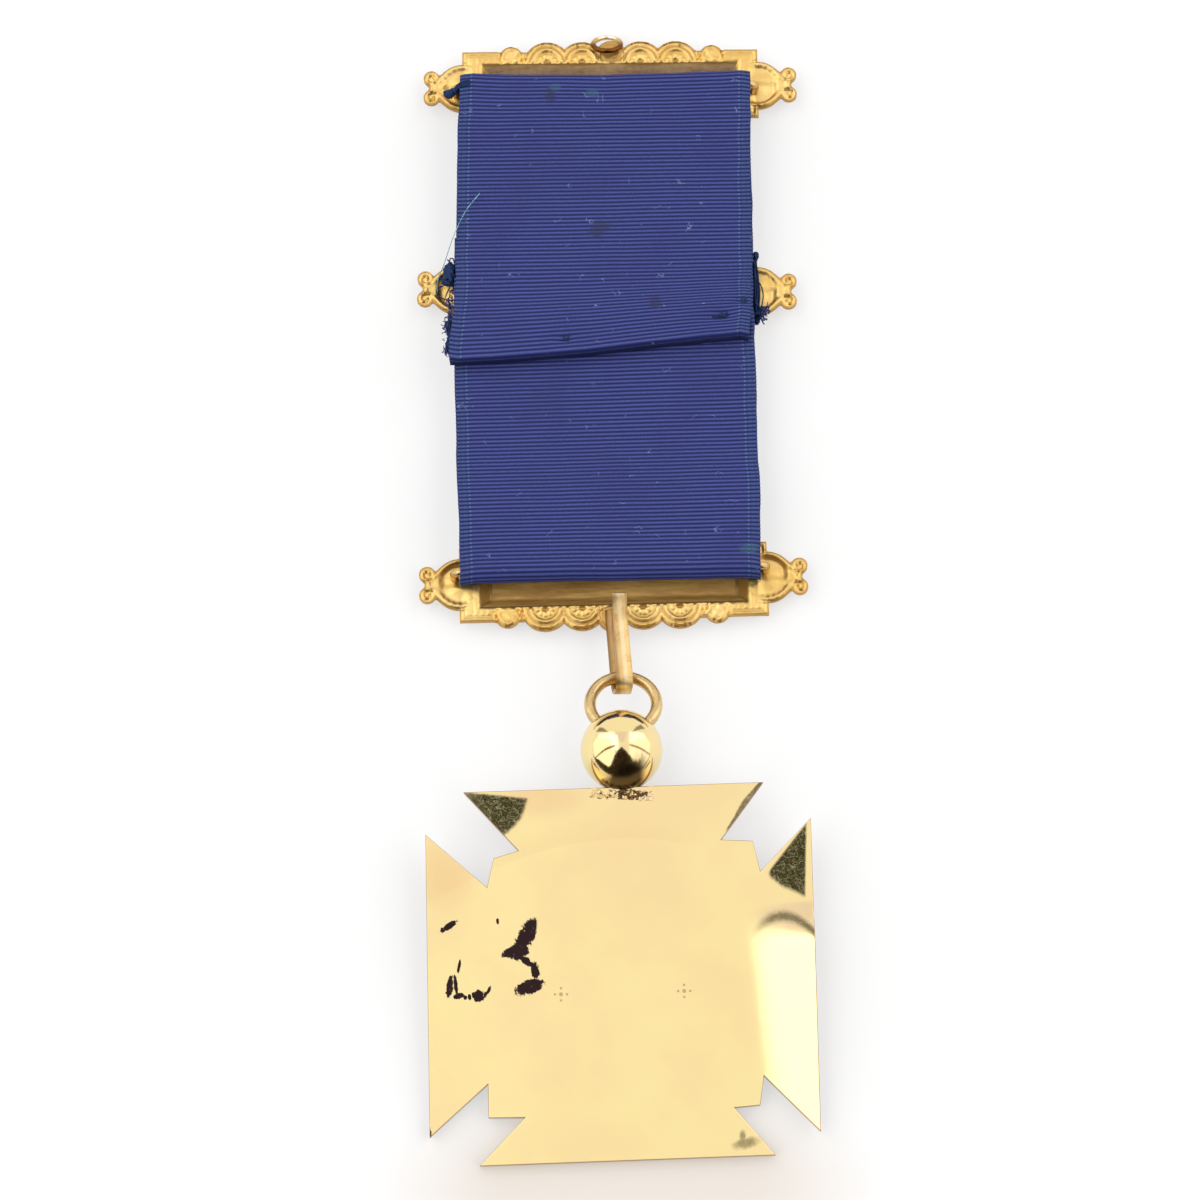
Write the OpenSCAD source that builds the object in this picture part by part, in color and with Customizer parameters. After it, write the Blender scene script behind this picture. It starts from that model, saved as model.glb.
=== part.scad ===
// Fraternal breast jewel, lying face down, so that its back faces +Z.
// A polished cross hangs by its ball and ring from the hook of the bottom bar, and a ribbon
// is looped from that bar's rail to the top bar's rail. A third bar is sewn to its front.
// +Y points to the top bar, and the origin is on the surface, under the middle of the box.

/* [Struck bars] */
// Length of a bar's rectangular plate, without the scroll ends
plate_l = 39.5; // [38.5:0.1:40.5]
// Height of the rectangular plate
plate_h = 9.85; // [9.6:0.05:10.2]
// Depth of the struck relief, from the tablet's face to the bar's back
bar_depth = 2.2; // [2.1:0.05:2.3]
// Thickness of the struck sheet
sheet_t = 0.5; // [0.4:0.05:0.6]
// Length of the raised tablet's hollow
tablet_l = 34.8; // [33:0.1:36]
// Height of the raised tablet's hollow
tablet_h = 6.6; // [6:0.1:6.8]
// Slope of the tablet's walls, from upright
tablet_slope = 33; // [20:1:36]
// How far the shells of the crest rise over the plate
crest_rise = 1.4; // [1.1:0.05:1.6]
// Sideways place of the crest's middle
crest_shift = 0.2; // [-0.4:0.05:0.4]
// Outer radius of one shell
shell_r = 3.1; // [2.9:0.05:3.2]
// Distance of the first shell from the crest's middle
shell_first = 3.9; // [3.8:0.05:4.2]
// Distance from one shell to the next
shell_pitch = 4.7; // [4.2:0.05:4.8]
// Distance of the leaf at each end of the crest from its middle
leaf_x = 13.4; // [13:0.1:14]
// Radius of the leaf
leaf_r = 1.6; // [1.4:0.05:1.8]
// Distance of a scroll from the bar's middle
curl_x = 23.85; // [23.6:0.05:24.1]
// Radius of a scroll
curl_r = 1.05; // [1:0.05:1.15]

/* [Rails and eyelet] */
// Diameter of the rail that carries the ribbon
rail_d = 1.1; // [0.9:0.1:1.2]
// Distance of a rail's post from the rail's middle
post_x = 19.95; // [19.95:0.05:20.2]
// How far the rail lies from the bar's middle line, away from the crest
rail_back = 1.1; // [0.9:0.05:1.2]
// Outer diameter of the eyelet on the top bar
eyelet_d = 4.35; // [4:0.05:4.6]
// Diameter of the eyelet's wire
eyelet_wire = 0.8; // [0.7:0.05:0.9]
// How far the eyelet leans over the edge, in degrees
eyelet_lean = 11; // [5:1:15]

/* [Hook] */
// Width of the half-round hook strip
hook_w = 2.1; // [1.9:0.05:2.2]
// Thickness of the hook strip
hook_t = 0.85; // [0.7:0.05:0.9]
// Inner radius of the hook's bend
hook_bend = 1.95; // [1.9:0.05:2]
// Length of the leg that is soldered to the bottom bar
hook_leg = 9.7; // [9.6:0.05:9.8]
// Straight length of the free leg
hook_free = 6.2; // [5:0.1:6.5]
// Angle by which the free end flares away from the bar
hook_flare = 28; // [10:1:35]
// Turn of the hook on the bar, so that its free leg lies to the right
hook_turn = 3.9; // [3:0.1:4.5]
// Lean of the hook to the right, as seen from its foot
hook_lean = 11; // [8:0.5:12]

/* [Ribbon] */
// Width of the ribbon
ribbon_w = 38.4; // [36:0.1:38.6]
// Thickness of one layer of cloth
ribbon_t = 1; // [0.8:0.05:1]
// Clearance between the ribbon and what it lies on
ribbon_gap = 0.1; // [0.05:0.01:0.12]

/* [Cross pendant] */
// Thickness of the cross's plate
cross_t = 1.3; // [1:0.05:1.6]
// Tilt of the plate, whose upper edge is held up by the ball
cross_tilt = 5; // [4.8:0.1:5.2]
// Turn of the plate on the surface
cross_turn = 1.1; // [0.8:0.1:1.4]
// Diameter of the ball
ball_d = 10.3; // [10.2:0.02:10.4]
// Mean radius of the ring
ring_r = 4.2; // [4.15:0.01:4.25]
// Diameter of the ring's wire
ring_wire = 1.48; // [1.4:0.02:1.5]
// Angle by which the ring dips from the ball to the hook
ring_dip = 19; // [17:0.5:20]

/* [Layout] */
// Middle of the top bar, from the origin
top_bar_at = [0.27, 68.4];
// Middle of the middle bar
middle_bar_at = [-0.45, 39.05];
// Middle of the bottom bar
bottom_bar_at = [-0.03, -1.55];
// Place of the upper end of the hook's soldered leg
hook_at = [-0.35, -5.7];
// Turn of the middle bar on the surface
middle_bar_turn = -1; // [-2:0.1:0]
// Turn of the bottom bar on the surface
bottom_bar_turn = 0.85; // [0:0.05:1]
// Middle of the ball
ball_at = [0.71, -24.82];
// Middle of the ring, with its height
ring_at = [1.01, -18.8, 5.2];
// Middle of the cross
cross_at = [0.36, -53.18];

/* [Hidden] */
$fn = 64;

sheet_z = bar_depth - sheet_t;
shell_y = plate_h / 2 + crest_rise - shell_r;
leaf_y = plate_h / 2 + crest_rise - 0.6 - leaf_r;
boss_r = 2;
boss_y = plate_h / 2 + crest_rise + 0.2 - boss_r;
bulge_x = plate_l / 2 - 0.1;
bulge_r = 3.42;
neck_root = [bulge_x + 1.15, 2.7];
neck_tip = [curl_x + 0.35, 1];
curl_y = 1.4;
scroll_y = -0.22;
eyelet_x = -0.35;
eyelet_y = plate_h / 2 + 0.8;

rail_z = bar_depth + 2 * ribbon_gap + ribbon_t + rail_d / 2;
rail_top_shift = -0.65;
rail_bottom_shift = 0.42;
fold_in = rail_d / 2 + ribbon_gap;
fold_out = fold_in + ribbon_t;
fold_slack = 0.25;
top_fold_y = top_bar_at[1] - rail_back + fold_slack;
bottom_fold_y = bottom_bar_at[1] + rail_back - fold_slack;
ribbon_x = -0.3;
front_z = bar_depth + ribbon_gap;
back_z = front_z + ribbon_t + ribbon_gap;
flap_z = rail_z + fold_in;
hem_t = 1.9;
hem_z = back_z + ribbon_t + ribbon_gap;
back_end_y = 46;

// One row for each corner of the cross, in millimetres from its middle:
// tip of the upright arm, root beside it, corner of the square, other root, tip of the side arm
cross_corners = [
    [[18.47, 23.83], [12.94, 16.71], [16.87, 16.45], [17.68, 12.58], [24.24, 19.16]],
    [[18.21, -22.51], [13.37, -16.59], [16.56, -16.38], [17.15, -12.78], [23.81, -19.86]],
    [[-18.02, -22.78], [-12.34, -17.05], [-16.81, -16.96], [-16.78, -12.82], [-24.06, -19.12]],
    [[-19.01, 23.65], [-12.32, 16.08], [-15.44, 15.20], [-16.35, 11.55], [-23.87, 18.44]]
];

function reversed(row) = [for (i = [len(row) - 1 : -1 : 0]) row[i]];

// The outline runs clockwise, so every second corner is read from its side arm
cross_outline = [for (i = [0 : 3]) each (i % 2 == 0 ? cross_corners[i] : reversed(cross_corners[i]))];

function arc(centre, radius, from, to, steps) =
    [for (i = [0 : steps])
        let (a = from + (to - from) * i / steps)
        centre + radius * [cos(a), sin(a)]];

// A shallow dish, hollow from the bar's back. With wall above 0 it is the dish's outer side.
module dish(x, y, open_r, deep, wall = 0) {
    r = (open_r * open_r + deep * deep) / (2 * deep);
    translate([x, y, bar_depth - deep + r]) sphere(r + wall);
}

module dishes(wall = 0) {
    for (side = [-1, 1]) {
        for (i = [0, 1]) {
            dish(crest_shift + side * (shell_first + i * shell_pitch), 4.5, 1.5, 0.85, wall);
        }
        dish(crest_shift + side * leaf_x, leaf_y + 0.25, 0.9, 0.5, wall);
        dish(side * (bulge_x + 0.55), scroll_y, 2, 1, wall);
        for (end = [-1, 1]) {
            dish(side * curl_x, scroll_y + end * curl_y, 0.6, 0.4, wall);
        }
    }
}

// A tapered block between two heights, whose sides at the bar's back are those of the hollow
module tapered(low, high, grow) {
    taper = tan(tablet_slope);
    across_low = tablet_h / 2 + grow - (bar_depth - low) * taper;
    across_high = tablet_h / 2 + grow - (bar_depth - high) * taper;
    along_low = across_low + (tablet_l - tablet_h) / 2;
    along_high = across_high + (tablet_l - tablet_h) / 2;
    intersection() {
        rotate([90, 0, 90])
            linear_extrude(tablet_l + 10, center = true)
                polygon([[-across_low, low], [across_low, low], [across_high, high], [-across_high, high]]);
        rotate([90, 0, 0])
            linear_extrude(tablet_h + 10, center = true)
                polygon([[-along_low, low], [along_low, low], [along_high, high], [-along_high, high]]);
    }
}

// The tapered neck between a bulge and its two scrolls
module neck(side) {
    polygon([
        [side * neck_root[0], -neck_root[1]],
        [side * neck_tip[0], -neck_tip[1]],
        [side * neck_tip[0], neck_tip[1]],
        [side * neck_root[0], neck_root[1]]
    ]);
}

module bar_outline() {
    square([plate_l, plate_h], center = true);
    translate([crest_shift, boss_y]) circle(boss_r);
    for (side = [-1, 1]) {
        for (i = [0, 1]) {
            translate([crest_shift + side * (shell_first + i * shell_pitch), shell_y]) circle(shell_r);
        }
        translate([crest_shift + side * leaf_x, leaf_y]) circle(leaf_r);
        translate([side * bulge_x, scroll_y]) circle(bulge_r);
        translate([0, scroll_y]) neck(side);
        for (end = [-1, 1]) {
            translate([side * curl_x, scroll_y + end * curl_y]) circle(curl_r);
        }
    }
}

// The struck sheet of one bar, crest towards +Y and hollow side up
module struck_bar() {
    difference() {
        union() {
            translate([0, 0, sheet_z]) linear_extrude(sheet_t) bar_outline();
            tapered(0, bar_depth - sheet_t / 2, sheet_t / cos(tablet_slope));
            intersection() {
                linear_extrude(bar_depth - sheet_t / 2) bar_outline();
                dishes(sheet_t);
            }
        }
        tapered(sheet_t, bar_depth + 0.2, 0);
        dishes();
    }
}

// The round rail across a bar's back, on a post at each end
module rail(shift) {
    translate([shift, -rail_back, rail_z]) {
        rotate([0, 90, 0]) cylinder(h = 2 * post_x, d = rail_d, center = true);
        for (side = [-1, 1]) {
            translate([side * post_x, 0, 0]) sphere(rail_d / 2 + 0.15);
            translate([side * post_x, 0, 1.2 - rail_z]) cylinder(h = rail_z - 1.2, d = rail_d - 0.1);
        }
    }
}

module eyelet() {
    translate([eyelet_x, eyelet_y, bar_depth - 0.1])
        rotate([-eyelet_lean, 0, 0])
            rotate_extrude()
                translate([(eyelet_d - eyelet_wire) / 2, 0]) circle(d = eyelet_wire);
}

// Half-round section of the hook strip, flat side on the Y axis and round side towards +X
module strip_section() {
    r = (hook_w * hook_w / 4 + hook_t * hook_t) / (2 * hook_t);
    intersection() {
        translate([hook_t - r, 0]) circle(r);
        translate([0, -hook_w]) square([hook_w, 2 * hook_w]);
    }
}

// A straight stretch of the strip along +Y, flat side down at Z 0
module strip(length) {
    translate([0, length, 0])
        rotate([90, 0, 0])
            linear_extrude(length)
                rotate(90) strip_section();
}

// The open hook: a leg on the bar, a bend through the ring, and a free leg that flares up
module hook() {
    flare_r = 9;
    free_z = hook_t + 2 * hook_bend;
    translate([0, -hook_leg, hook_t]) mirror([0, 0, 1]) strip(hook_leg);
    translate([0, -hook_leg, hook_t + hook_bend])
        rotate([0, 90, 180])
            rotate_extrude(angle = 180) translate([hook_bend, 0]) strip_section();
    translate([0, -hook_leg, free_z]) strip(hook_free);
    translate([0, hook_free - hook_leg, free_z + flare_r])
        rotate([0, 90, 0])
            rotate_extrude(angle = hook_flare)
                translate([flare_r, 0]) mirror([1, 0]) strip_section();
}

// Section of the strap under the flap: along the front, round the bottom rail and up the back
module strap_section() {
    slope_y = bottom_fold_y + 8;
    level_y = bottom_fold_y + 18;
    centre = [bottom_fold_y, rail_z];
    polygon(concat(
        [[top_fold_y, front_z]],
        arc(centre, fold_out, 270, 90, 16),
        [[slope_y, flap_z + ribbon_t], [level_y, back_z + ribbon_t], [back_end_y, back_z + ribbon_t]],
        [[back_end_y, back_z], [level_y, back_z], [slope_y, flap_z]],
        arc(centre, fold_in, 90, 270, 12),
        [[top_fold_y, front_z + ribbon_t]]
    ));
}

// Section of the fold over the top rail and of the flap, which ends in a hem of double thickness
module flap_section() {
    centre = [top_fold_y, rail_z];
    hem_start = 38;
    hem_full = 35;
    hem_end = 24;
    polygon(concat(
        [[top_fold_y - 3, front_z]],
        arc(centre, fold_out, -90, 90, 16),
        [[hem_start, flap_z + ribbon_t], [hem_full, hem_z + hem_t], [hem_end, hem_z + hem_t]],
        [[hem_end, hem_z], [hem_full, hem_z], [hem_start, flap_z]],
        arc(centre, fold_in, 90, -90, 12),
        [[top_fold_y - 3, front_z + ribbon_t]]
    ));
}

module along_x(length) {
    rotate([90, 0, 90]) linear_extrude(length, center = true) children();
}

module top_bar() {
    color("goldenrod")
        translate([top_bar_at[0], top_bar_at[1], 0]) {
            struck_bar();
            rail(rail_top_shift);
            eyelet();
        }
}

module middle_bar() {
    color("goldenrod")
        translate([middle_bar_at[0], middle_bar_at[1], 0])
            rotate(middle_bar_turn) struck_bar();
}

module bottom_bar() {
    color("goldenrod") {
        translate([bottom_bar_at[0], bottom_bar_at[1], 0])
            rotate(180 + bottom_bar_turn) {
                struck_bar();
                rail(rail_bottom_shift);
            }
        translate([hook_at[0], hook_at[1], bar_depth - 0.15]) rotate([0, hook_lean, hook_turn]) hook();
    }
}

module ribbon() {
    hem_left = [-20.6, 27.6];
    hem_right = [17.9, 30.35];
    top_y = top_fold_y + 3;
    color("midnightblue") {
        translate([ribbon_x, 0, 0])
            along_x(ribbon_w) strap_section();
        intersection() {
            along_x(60) flap_section();
            linear_extrude(12)
                polygon([
                    [ribbon_x - ribbon_w / 2, top_y],
                    [ribbon_x + ribbon_w / 2, top_y],
                    hem_right,
                    hem_left
                ]);
        }
    }
}

module cross_pendant() {
    low_tip = cross_corners[2][0];
    drop = low_tip[0] * sin(cross_turn) + low_tip[1] * cos(cross_turn);
    color("gold") {
        translate([cross_at[0], cross_at[1], -drop * sin(cross_tilt)])
            rotate([cross_tilt, 0, 0])
                rotate(cross_turn)
                    linear_extrude(cross_t) polygon(cross_outline);
        translate([ball_at[0], ball_at[1], ball_d / 2]) sphere(d = ball_d);
        translate(ring_at)
            rotate([-ring_dip, 0, 0])
                rotate_extrude() translate([ring_r, 0]) circle(d = ring_wire);
    }
}

top_bar();
middle_bar();
bottom_bar();
ribbon();
cross_pendant();
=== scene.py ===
"""Finished pieces and studio of a fraternal breast jewel that lies face down on a pale floor."""

import math

import bmesh
import bpy
import numpy as np
from mathutils import Matrix, Vector


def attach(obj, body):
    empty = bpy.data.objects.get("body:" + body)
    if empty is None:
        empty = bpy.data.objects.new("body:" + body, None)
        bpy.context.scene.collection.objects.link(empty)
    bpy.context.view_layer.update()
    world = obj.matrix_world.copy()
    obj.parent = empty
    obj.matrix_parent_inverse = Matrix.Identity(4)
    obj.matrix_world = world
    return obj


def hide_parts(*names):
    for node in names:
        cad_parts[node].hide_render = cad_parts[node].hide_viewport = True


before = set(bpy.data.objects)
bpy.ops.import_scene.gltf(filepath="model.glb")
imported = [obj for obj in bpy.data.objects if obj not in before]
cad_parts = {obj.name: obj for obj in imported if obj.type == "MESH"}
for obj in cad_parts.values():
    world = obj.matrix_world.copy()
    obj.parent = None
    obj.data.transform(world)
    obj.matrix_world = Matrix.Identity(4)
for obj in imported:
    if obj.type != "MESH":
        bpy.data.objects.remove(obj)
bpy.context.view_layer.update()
MM = 0.001

bl_info = {
    "name": "Breast jewel",
    "version": (1, 0, 0),
    "blender": (4, 5, 0),
    "location": "3D View > Sidebar > Jewel",
    "description": "Builds the ribbon, struck bars, hook and cross of a breast jewel around its CAD frame",
    "category": "Object",
}


def length(name, description, default_mm, low_mm, high_mm):
    return bpy.props.FloatProperty(
        name=name,
        description=description,
        default=default_mm * MM,
        min=low_mm * MM,
        max=high_mm * MM,
        precision=5,
        unit="LENGTH",
    )


def colour(name, description, default):
    return bpy.props.FloatVectorProperty(
        name=name, description=description, default=default, subtype="COLOR", min=0, max=1
    )


def level(name, description, default, high):
    return bpy.props.FloatProperty(name=name, description=description, default=default, min=0, max=high)


class JewelSizes(bpy.types.PropertyGroup):
    cloth: length("Cloth", "Thickness of the ribbon's cloth", 0.42, 0.3, 0.6)
    rib_pitch: length("Rib pitch", "Distance from one rib of the ribbon to the next", 0.56, 0.5, 0.62)
    rib_height: length("Rib height", "How far a rib stands over its groove", 0.085, 0.02, 0.12)
    bar_cell: length("Bar detail", "Size of a mesh cell on the struck bars", 0.16, 0.15, 0.4)
    plate_cell: length("Plate detail", "Size of a mesh cell on the cross", 0.8, 0.4, 2)
    strike_grain: length("Strike grain", "Unevenness of the struck sheet", 0.02, 0, 0.06)


class JewelColours(bpy.types.PropertyGroup):
    polished: colour("Polished gold", "Gilt of the cross and ball", (0.945, 0.777, 0.377))
    rosy: colour("Rosy gold", "Warmer cast of worn gilt", (0.92, 0.68, 0.36))
    struck: colour("Struck gold", "Gilt of the bars' backs", (0.79, 0.52, 0.16))
    pale_struck: colour("Pale struck gold", "Lighter parts of the bars' gilt", (0.92, 0.67, 0.26))
    # Amber and hollow gold colour the bars' painted shade, with some dirt, in their struck lines and
    # hollows
    amber: colour("Amber gold", "Gilt beside the struck lines", (0.5, 0.29, 0.085))
    hollow: colour("Hollow gold", "Dull gilt in the bars' hollows", (0.3, 0.158, 0.036))
    old_gilt: colour("Old gilt", "Duller gilt of the ring and hook", (0.74, 0.53, 0.245))
    tarnish: colour("Tarnish", "Black tarnish on the cross", (0.028, 0.015, 0.016))
    rib: colour("Rib", "Top of the ribbon's ribs", (0.033, 0.043, 0.157))
    groove: colour("Groove", "Groove between the ribs", (0.0045, 0.0075, 0.052))
    selvedge: colour("Selvedge", "Faded edges of the ribbon", (0.03, 0.055, 0.125))
    thread: colour("Thread", "Loose dark sewing thread", (0.006, 0.014, 0.05))
    pale_thread: colour("Pale thread", "Loose faded thread", (0.04, 0.12, 0.15))
    floor: colour("Floor", "Pale floor", (0.22, 0.22, 0.22))


class JewelStudio(bpy.types.PropertyGroup):
    sky: level("Sky", "Brightness of the even light all round", 1.0, 4)
    softbox: level("Softboxes", "Brightness of the two softboxes' faces", 2.2, 8)
    shade: level("Dark side", "Brightness of the dark room behind the camera", 0.035, 1)


# Sizes and places that the pieces share, in millimetres, on the same frame as the CAD

BAR_DEPTH = 2.2
BAR_SHEET = 0.45
PLATE = (39.5, 9.85)
HOLLOW = (34.8, 6.6)
HOLLOW_SLOPE = math.tan(math.radians(46))
HOLLOW_DEPTH = 1.7
CREST_MID = 0.2
SHELL_FIRST, SHELL_PITCH = 3.9, 4.7
SHELLS = [CREST_MID + side * (SHELL_FIRST + SHELL_PITCH * i) for side in (-1, 1) for i in (0, 1)]
SHELL_R = 3.1
SHELL_V = PLATE[1] / 2 + 1.4 - SHELL_R
LEAVES = [CREST_MID - 13.4, CREST_MID + 13.4]
LEAF_R = 1.6
LEAF_V = PLATE[1] / 2 + 0.8 - LEAF_R
BOSS = (CREST_MID, PLATE[1] / 2 - 0.4, 2.0)
END_V = -0.22
BULGE = (PLATE[0] / 2 - 0.1, 3.42)
NECK = ((20.8, 2.7), (24.2, 1.0))
CURL = (23.85, 1.4, 1.05)
POST_U = 19.95
BARS = {
    "top_bar": (0.27, 68.4, 0.0),
    "middle_bar": (-0.45, 39.05, -1.0),
    "bottom_bar": (-0.03, -1.55, 180.85),
}
RAIL_Z = 3.95
RAIL_R = 0.55


def smooth_step(low, high, x):
    t = np.clip((x - low) / (high - low), 0, 1)
    return t * t * (3 - 2 * t)


def hill(x, width):
    return np.exp(-((x / width) ** 2))


def value_noise(x, y, seed):
    """Smooth noise from -1 to 1 with one knot per unit."""
    x, y = np.asarray(x, float), np.asarray(y, float)
    xi, yi = np.floor(x), np.floor(y)
    fx, fy = x - xi, y - yi
    fx, fy = fx * fx * (3 - 2 * fx), fy * fy * (3 - 2 * fy)

    def knot(a, b):
        h = np.sin(a * 127.1 + b * 311.7 + seed * 74.7) * 43758.5453
        return 2 * (h - np.floor(h)) - 1

    low = knot(xi, yi) * (1 - fx) + knot(xi + 1, yi) * fx
    high = knot(xi, yi + 1) * (1 - fx) + knot(xi + 1, yi + 1) * fx
    return low * (1 - fy) + high * fy


def verts_array(bm):
    return np.array([v.co for v in bm.verts], float).reshape(-1, 3)


def place_verts(bm, co):
    for vert, p in zip(bm.verts, co):
        vert.co = p


def numbered(bm):
    """Gives each vertex a number that its copy keeps in an extrusion."""
    number = bm.verts.layers.int.new("number")
    for i, vert in enumerate(bm.verts):
        vert[number] = i
    return number


def make_piece(name, bm, material, nodes=(), sharp=None):
    """Turns a bmesh in millimetres into a finished object that rides on the jewel."""
    bmesh.ops.scale(bm, vec=(MM, MM, MM), verts=bm.verts)
    mesh = bpy.data.meshes.new(name)
    bm.to_mesh(mesh)
    bm.free()
    mesh.shade_smooth()
    if sharp is not None:
        mesh.set_sharp_from_angle(angle=math.radians(sharp))
    obj = bpy.data.objects.new(name, mesh)
    bpy.context.scene.collection.objects.link(obj)
    mesh.materials.append(material)
    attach(obj, "root")
    if nodes:
        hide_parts(*nodes)
    return obj


# Shader maths


class Value:
    """A number that changes over a surface. Python's operators add Math nodes to its material."""

    def __init__(self, paint, socket):
        self.paint = paint
        self.socket = socket

    def maths(self, operation, *values):
        return self.paint.node("ShaderNodeMath", {"operation": operation}, dict(enumerate(values)))

    def __add__(self, other):
        return self.maths("ADD", self, other)

    def __mul__(self, other):
        return self.maths("MULTIPLY", self, other)

    def __sub__(self, other):
        return self.maths("SUBTRACT", self, other)

    def __rsub__(self, other):
        return self.maths("SUBTRACT", other, self)

    def __truediv__(self, other):
        return self.maths("DIVIDE", self, other)

    def __rtruediv__(self, other):
        return self.maths("DIVIDE", other, self)

    def __pow__(self, other):
        return self.maths("POWER", self, other)

    def __abs__(self):
        return self.maths("ABSOLUTE", self)

    __radd__ = __add__
    __rmul__ = __mul__

    def least(self, other):
        return self.maths("MINIMUM", self, other)

    def most(self, other):
        return self.maths("MAXIMUM", self, other)

    def fraction(self):
        return self.maths("FRACT", self)

    def near(self, middle, width):
        """1 at the middle, a half at one width from it."""
        away = (self - middle) / width
        return 1 / (1 + away * away)

    def rise(self, low, high):
        """0 below low, 1 above high and smooth between. With low above high it falls."""
        return self.paint.node(
            "ShaderNodeMapRange",
            {"interpolation_type": "SMOOTHSTEP", "clamp": True},
            {"Value": self, "From Min": low, "From Max": high, "To Min": 0.0, "To Max": 1.0},
        )


class Paint:
    """A material, with the node maker that every finish uses."""

    def __init__(self, name):
        self.material = bpy.data.materials.new(name)
        self.material.use_nodes = True
        self.tree = self.material.node_tree
        self.shader = self.tree.nodes["Principled BSDF"]

    def node(self, kind, settings=None, inputs=None, out=0):
        made = self.tree.nodes.new(kind)
        for key, value in (settings or {}).items():
            setattr(made, key, value)
        for key, value in (inputs or {}).items():
            self.plug(made.inputs[key], value)
        return Value(self, made.outputs[out])

    def plug(self, socket, value):
        if isinstance(value, Value):
            self.tree.links.new(value.socket, socket)
        elif socket.type == "RGBA":
            socket.default_value = (*tuple(value)[:3], 1)
        else:
            socket.default_value = value

    def set(self, **values):
        """Fills the shader's sockets, such as base_color or specular_ior_level."""
        for key, value in values.items():
            socket = key.replace("_", " ").title().replace("Ior", "IOR")
            self.plug(self.shader.inputs[socket], value)

    def mix(self, share, low, high):
        return self.node("ShaderNodeMix", {"data_type": "RGBA"}, {0: share, 6: low, 7: high}, out=2)

    def place(self):
        """Object coordinates in millimetres."""
        at = self.node("ShaderNodeTexCoord", out="Object")
        return self.node("ShaderNodeVectorMath", {"operation": "SCALE"}, {0: at, "Scale": 1 / MM})

    def axes(self, vector):
        return [self.node("ShaderNodeSeparateXYZ", inputs={0: vector}, out=i) for i in range(3)]

    def own(self, attribute):
        """A number that the piece's mesh carries at each of its points."""
        return self.node("ShaderNodeAttribute", {"attribute_name": attribute}, out="Fac")

    def stretch(self, vector, scale, turn=0.0):
        """Coordinates turned about Z and then multiplied by scale."""
        shrink = tuple(1 / s for s in scale)
        return self.node(
            "ShaderNodeMapping",
            {"vector_type": "TEXTURE"},
            {"Vector": vector, "Rotation": (0, 0, turn), "Scale": shrink},
        )

    def noise(self, vector, scale, detail=2.0, roughness=0.5):
        return self.node(
            "ShaderNodeTexNoise",
            inputs={"Vector": vector, "Scale": scale, "Detail": detail, "Roughness": roughness},
        )

    def streaks(self, vector, scale, turn=0.0, detail=4.0, roughness=0.7):
        """Noise that is drawn out along one way."""
        return self.noise(self.stretch(vector, scale, turn), 1.0, detail, roughness)

    def bump(self, height, strength, distance_mm):
        return self.node(
            "ShaderNodeBump", inputs={"Height": height, "Strength": strength, "Distance": distance_mm * MM}
        )

    def blob(self, x, y, at, size, turn=0.0):
        """Distance from the middle of an oval patch, which is 1 at its rim."""
        c, s = math.cos(math.radians(turn)), math.sin(math.radians(turn))
        dx, dy = x - at[0], y - at[1]
        along = (dx * c + dy * s) / size[0]
        across = (dy * c - dx * s) / size[1]
        return (along * along + across * across) ** 0.5

    def nearest(self, x, y, patches):
        """The blob distance to the nearest of some patches: middle, half sizes and turn in degrees."""
        found = self.blob(x, y, *patches[0])
        for patch in patches[1:]:
            found = found.least(self.blob(x, y, *patch))
        return found


# Finish of the cross and ball. Tones of wear and of painted dark reflections first, then patches: middle,
# half sizes and turn

BLUSH = (0.86, 0.57, 0.29)
FOLD_TONE = (0.86, 0.6, 0.3)
RIM_SHADE = (0.3, 0.15, 0.055)
FOOT_BROWN = (0.05, 0.024, 0.009)
DOT_TONE = (0.36, 0.19, 0.1)
# Painted dark reflections of the room: their brown-green, grain, haze and light lines
DARK_REFLECTION = (0.02, 0.018, 0.006)
DARK_REFLECTION_GRAIN = (0.13, 0.11, 0.045)
DARK_REFLECTION_HAZE = (0.26, 0.22, 0.12)
DARK_REFLECTION_LINES = (0.42, 0.37, 0.21)

TARNISH_PATCHES = [
    ((-11.35, -48.1), (1.75, 0.8), 62),
    ((-12.3, -50.0), (1.0, 0.85), 20),
    ((-13.4, -50.15), (0.85, 0.45), 25),
    ((-11.4, -51.3), (0.85, 0.35), -42),
    ((-10.3, -52.5), (0.42, 0.8), 12),
    ((-11.0, -54.45), (1.45, 0.68), 18),
    ((-21.0, -46.9), (0.95, 0.3), 32),
    ((-19.7, -51.9), (0.17, 0.65), -8),
    ((-20.85, -54.4), (0.34, 1.05), -5),
    ((-20.1, -54.2), (0.2, 0.95), 6),
    ((-19.8, -55.55), (0.55, 0.27), 8),
    ((-18.95, -55.7), (0.17, 0.22), 0),
    ((-18.4, -55.65), (0.17, 0.3), 0),
    ((-17.95, -55.5), (0.14, 0.3), 20),
    ((-17.3, -55.55), (0.5, 0.6), 0),
    ((-16.45, -55.4), (0.15, 0.32), -15),
    ((-16.0, -54.8), (0.15, 0.45), -25),
    ((-14.9, -46.3), (0.16, 0.3), 0),
    ((-23.75, -72.3), (0.5, 0.7), 0),
]
LEFT_BLUSH = ((-21.5, -40.5), (5.0, 5.5))
UPPER_BLUSH = ((-9.5, -31.0), (6.0, 2.6))
# Painted dark reflections at the upper arm's corner, with its haze, and at the foot
DARK_REFLECTION_CORNER = ((-17.4, -30.6), (6.3, 5.9))
CORNER_HAZE = ((-19.0, -29.8), (4.5, 2.2), 35)
FOOT_DARK_REFLECTIONS = [((15.4, -73.9), (1.9, 0.8), 12), ((15.0, -73.0), (0.5, 0.9))]
FOLD_AT = (1.5, -36.15)
BAND_ARCH = (20.4, -46.1)
DOT_CROSSES = [(-7.12, -55.45), (8.1, -55.2)]
DOT_REACH = 0.75
MIDDLE_DOT = (1.6, 1.6)


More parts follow.
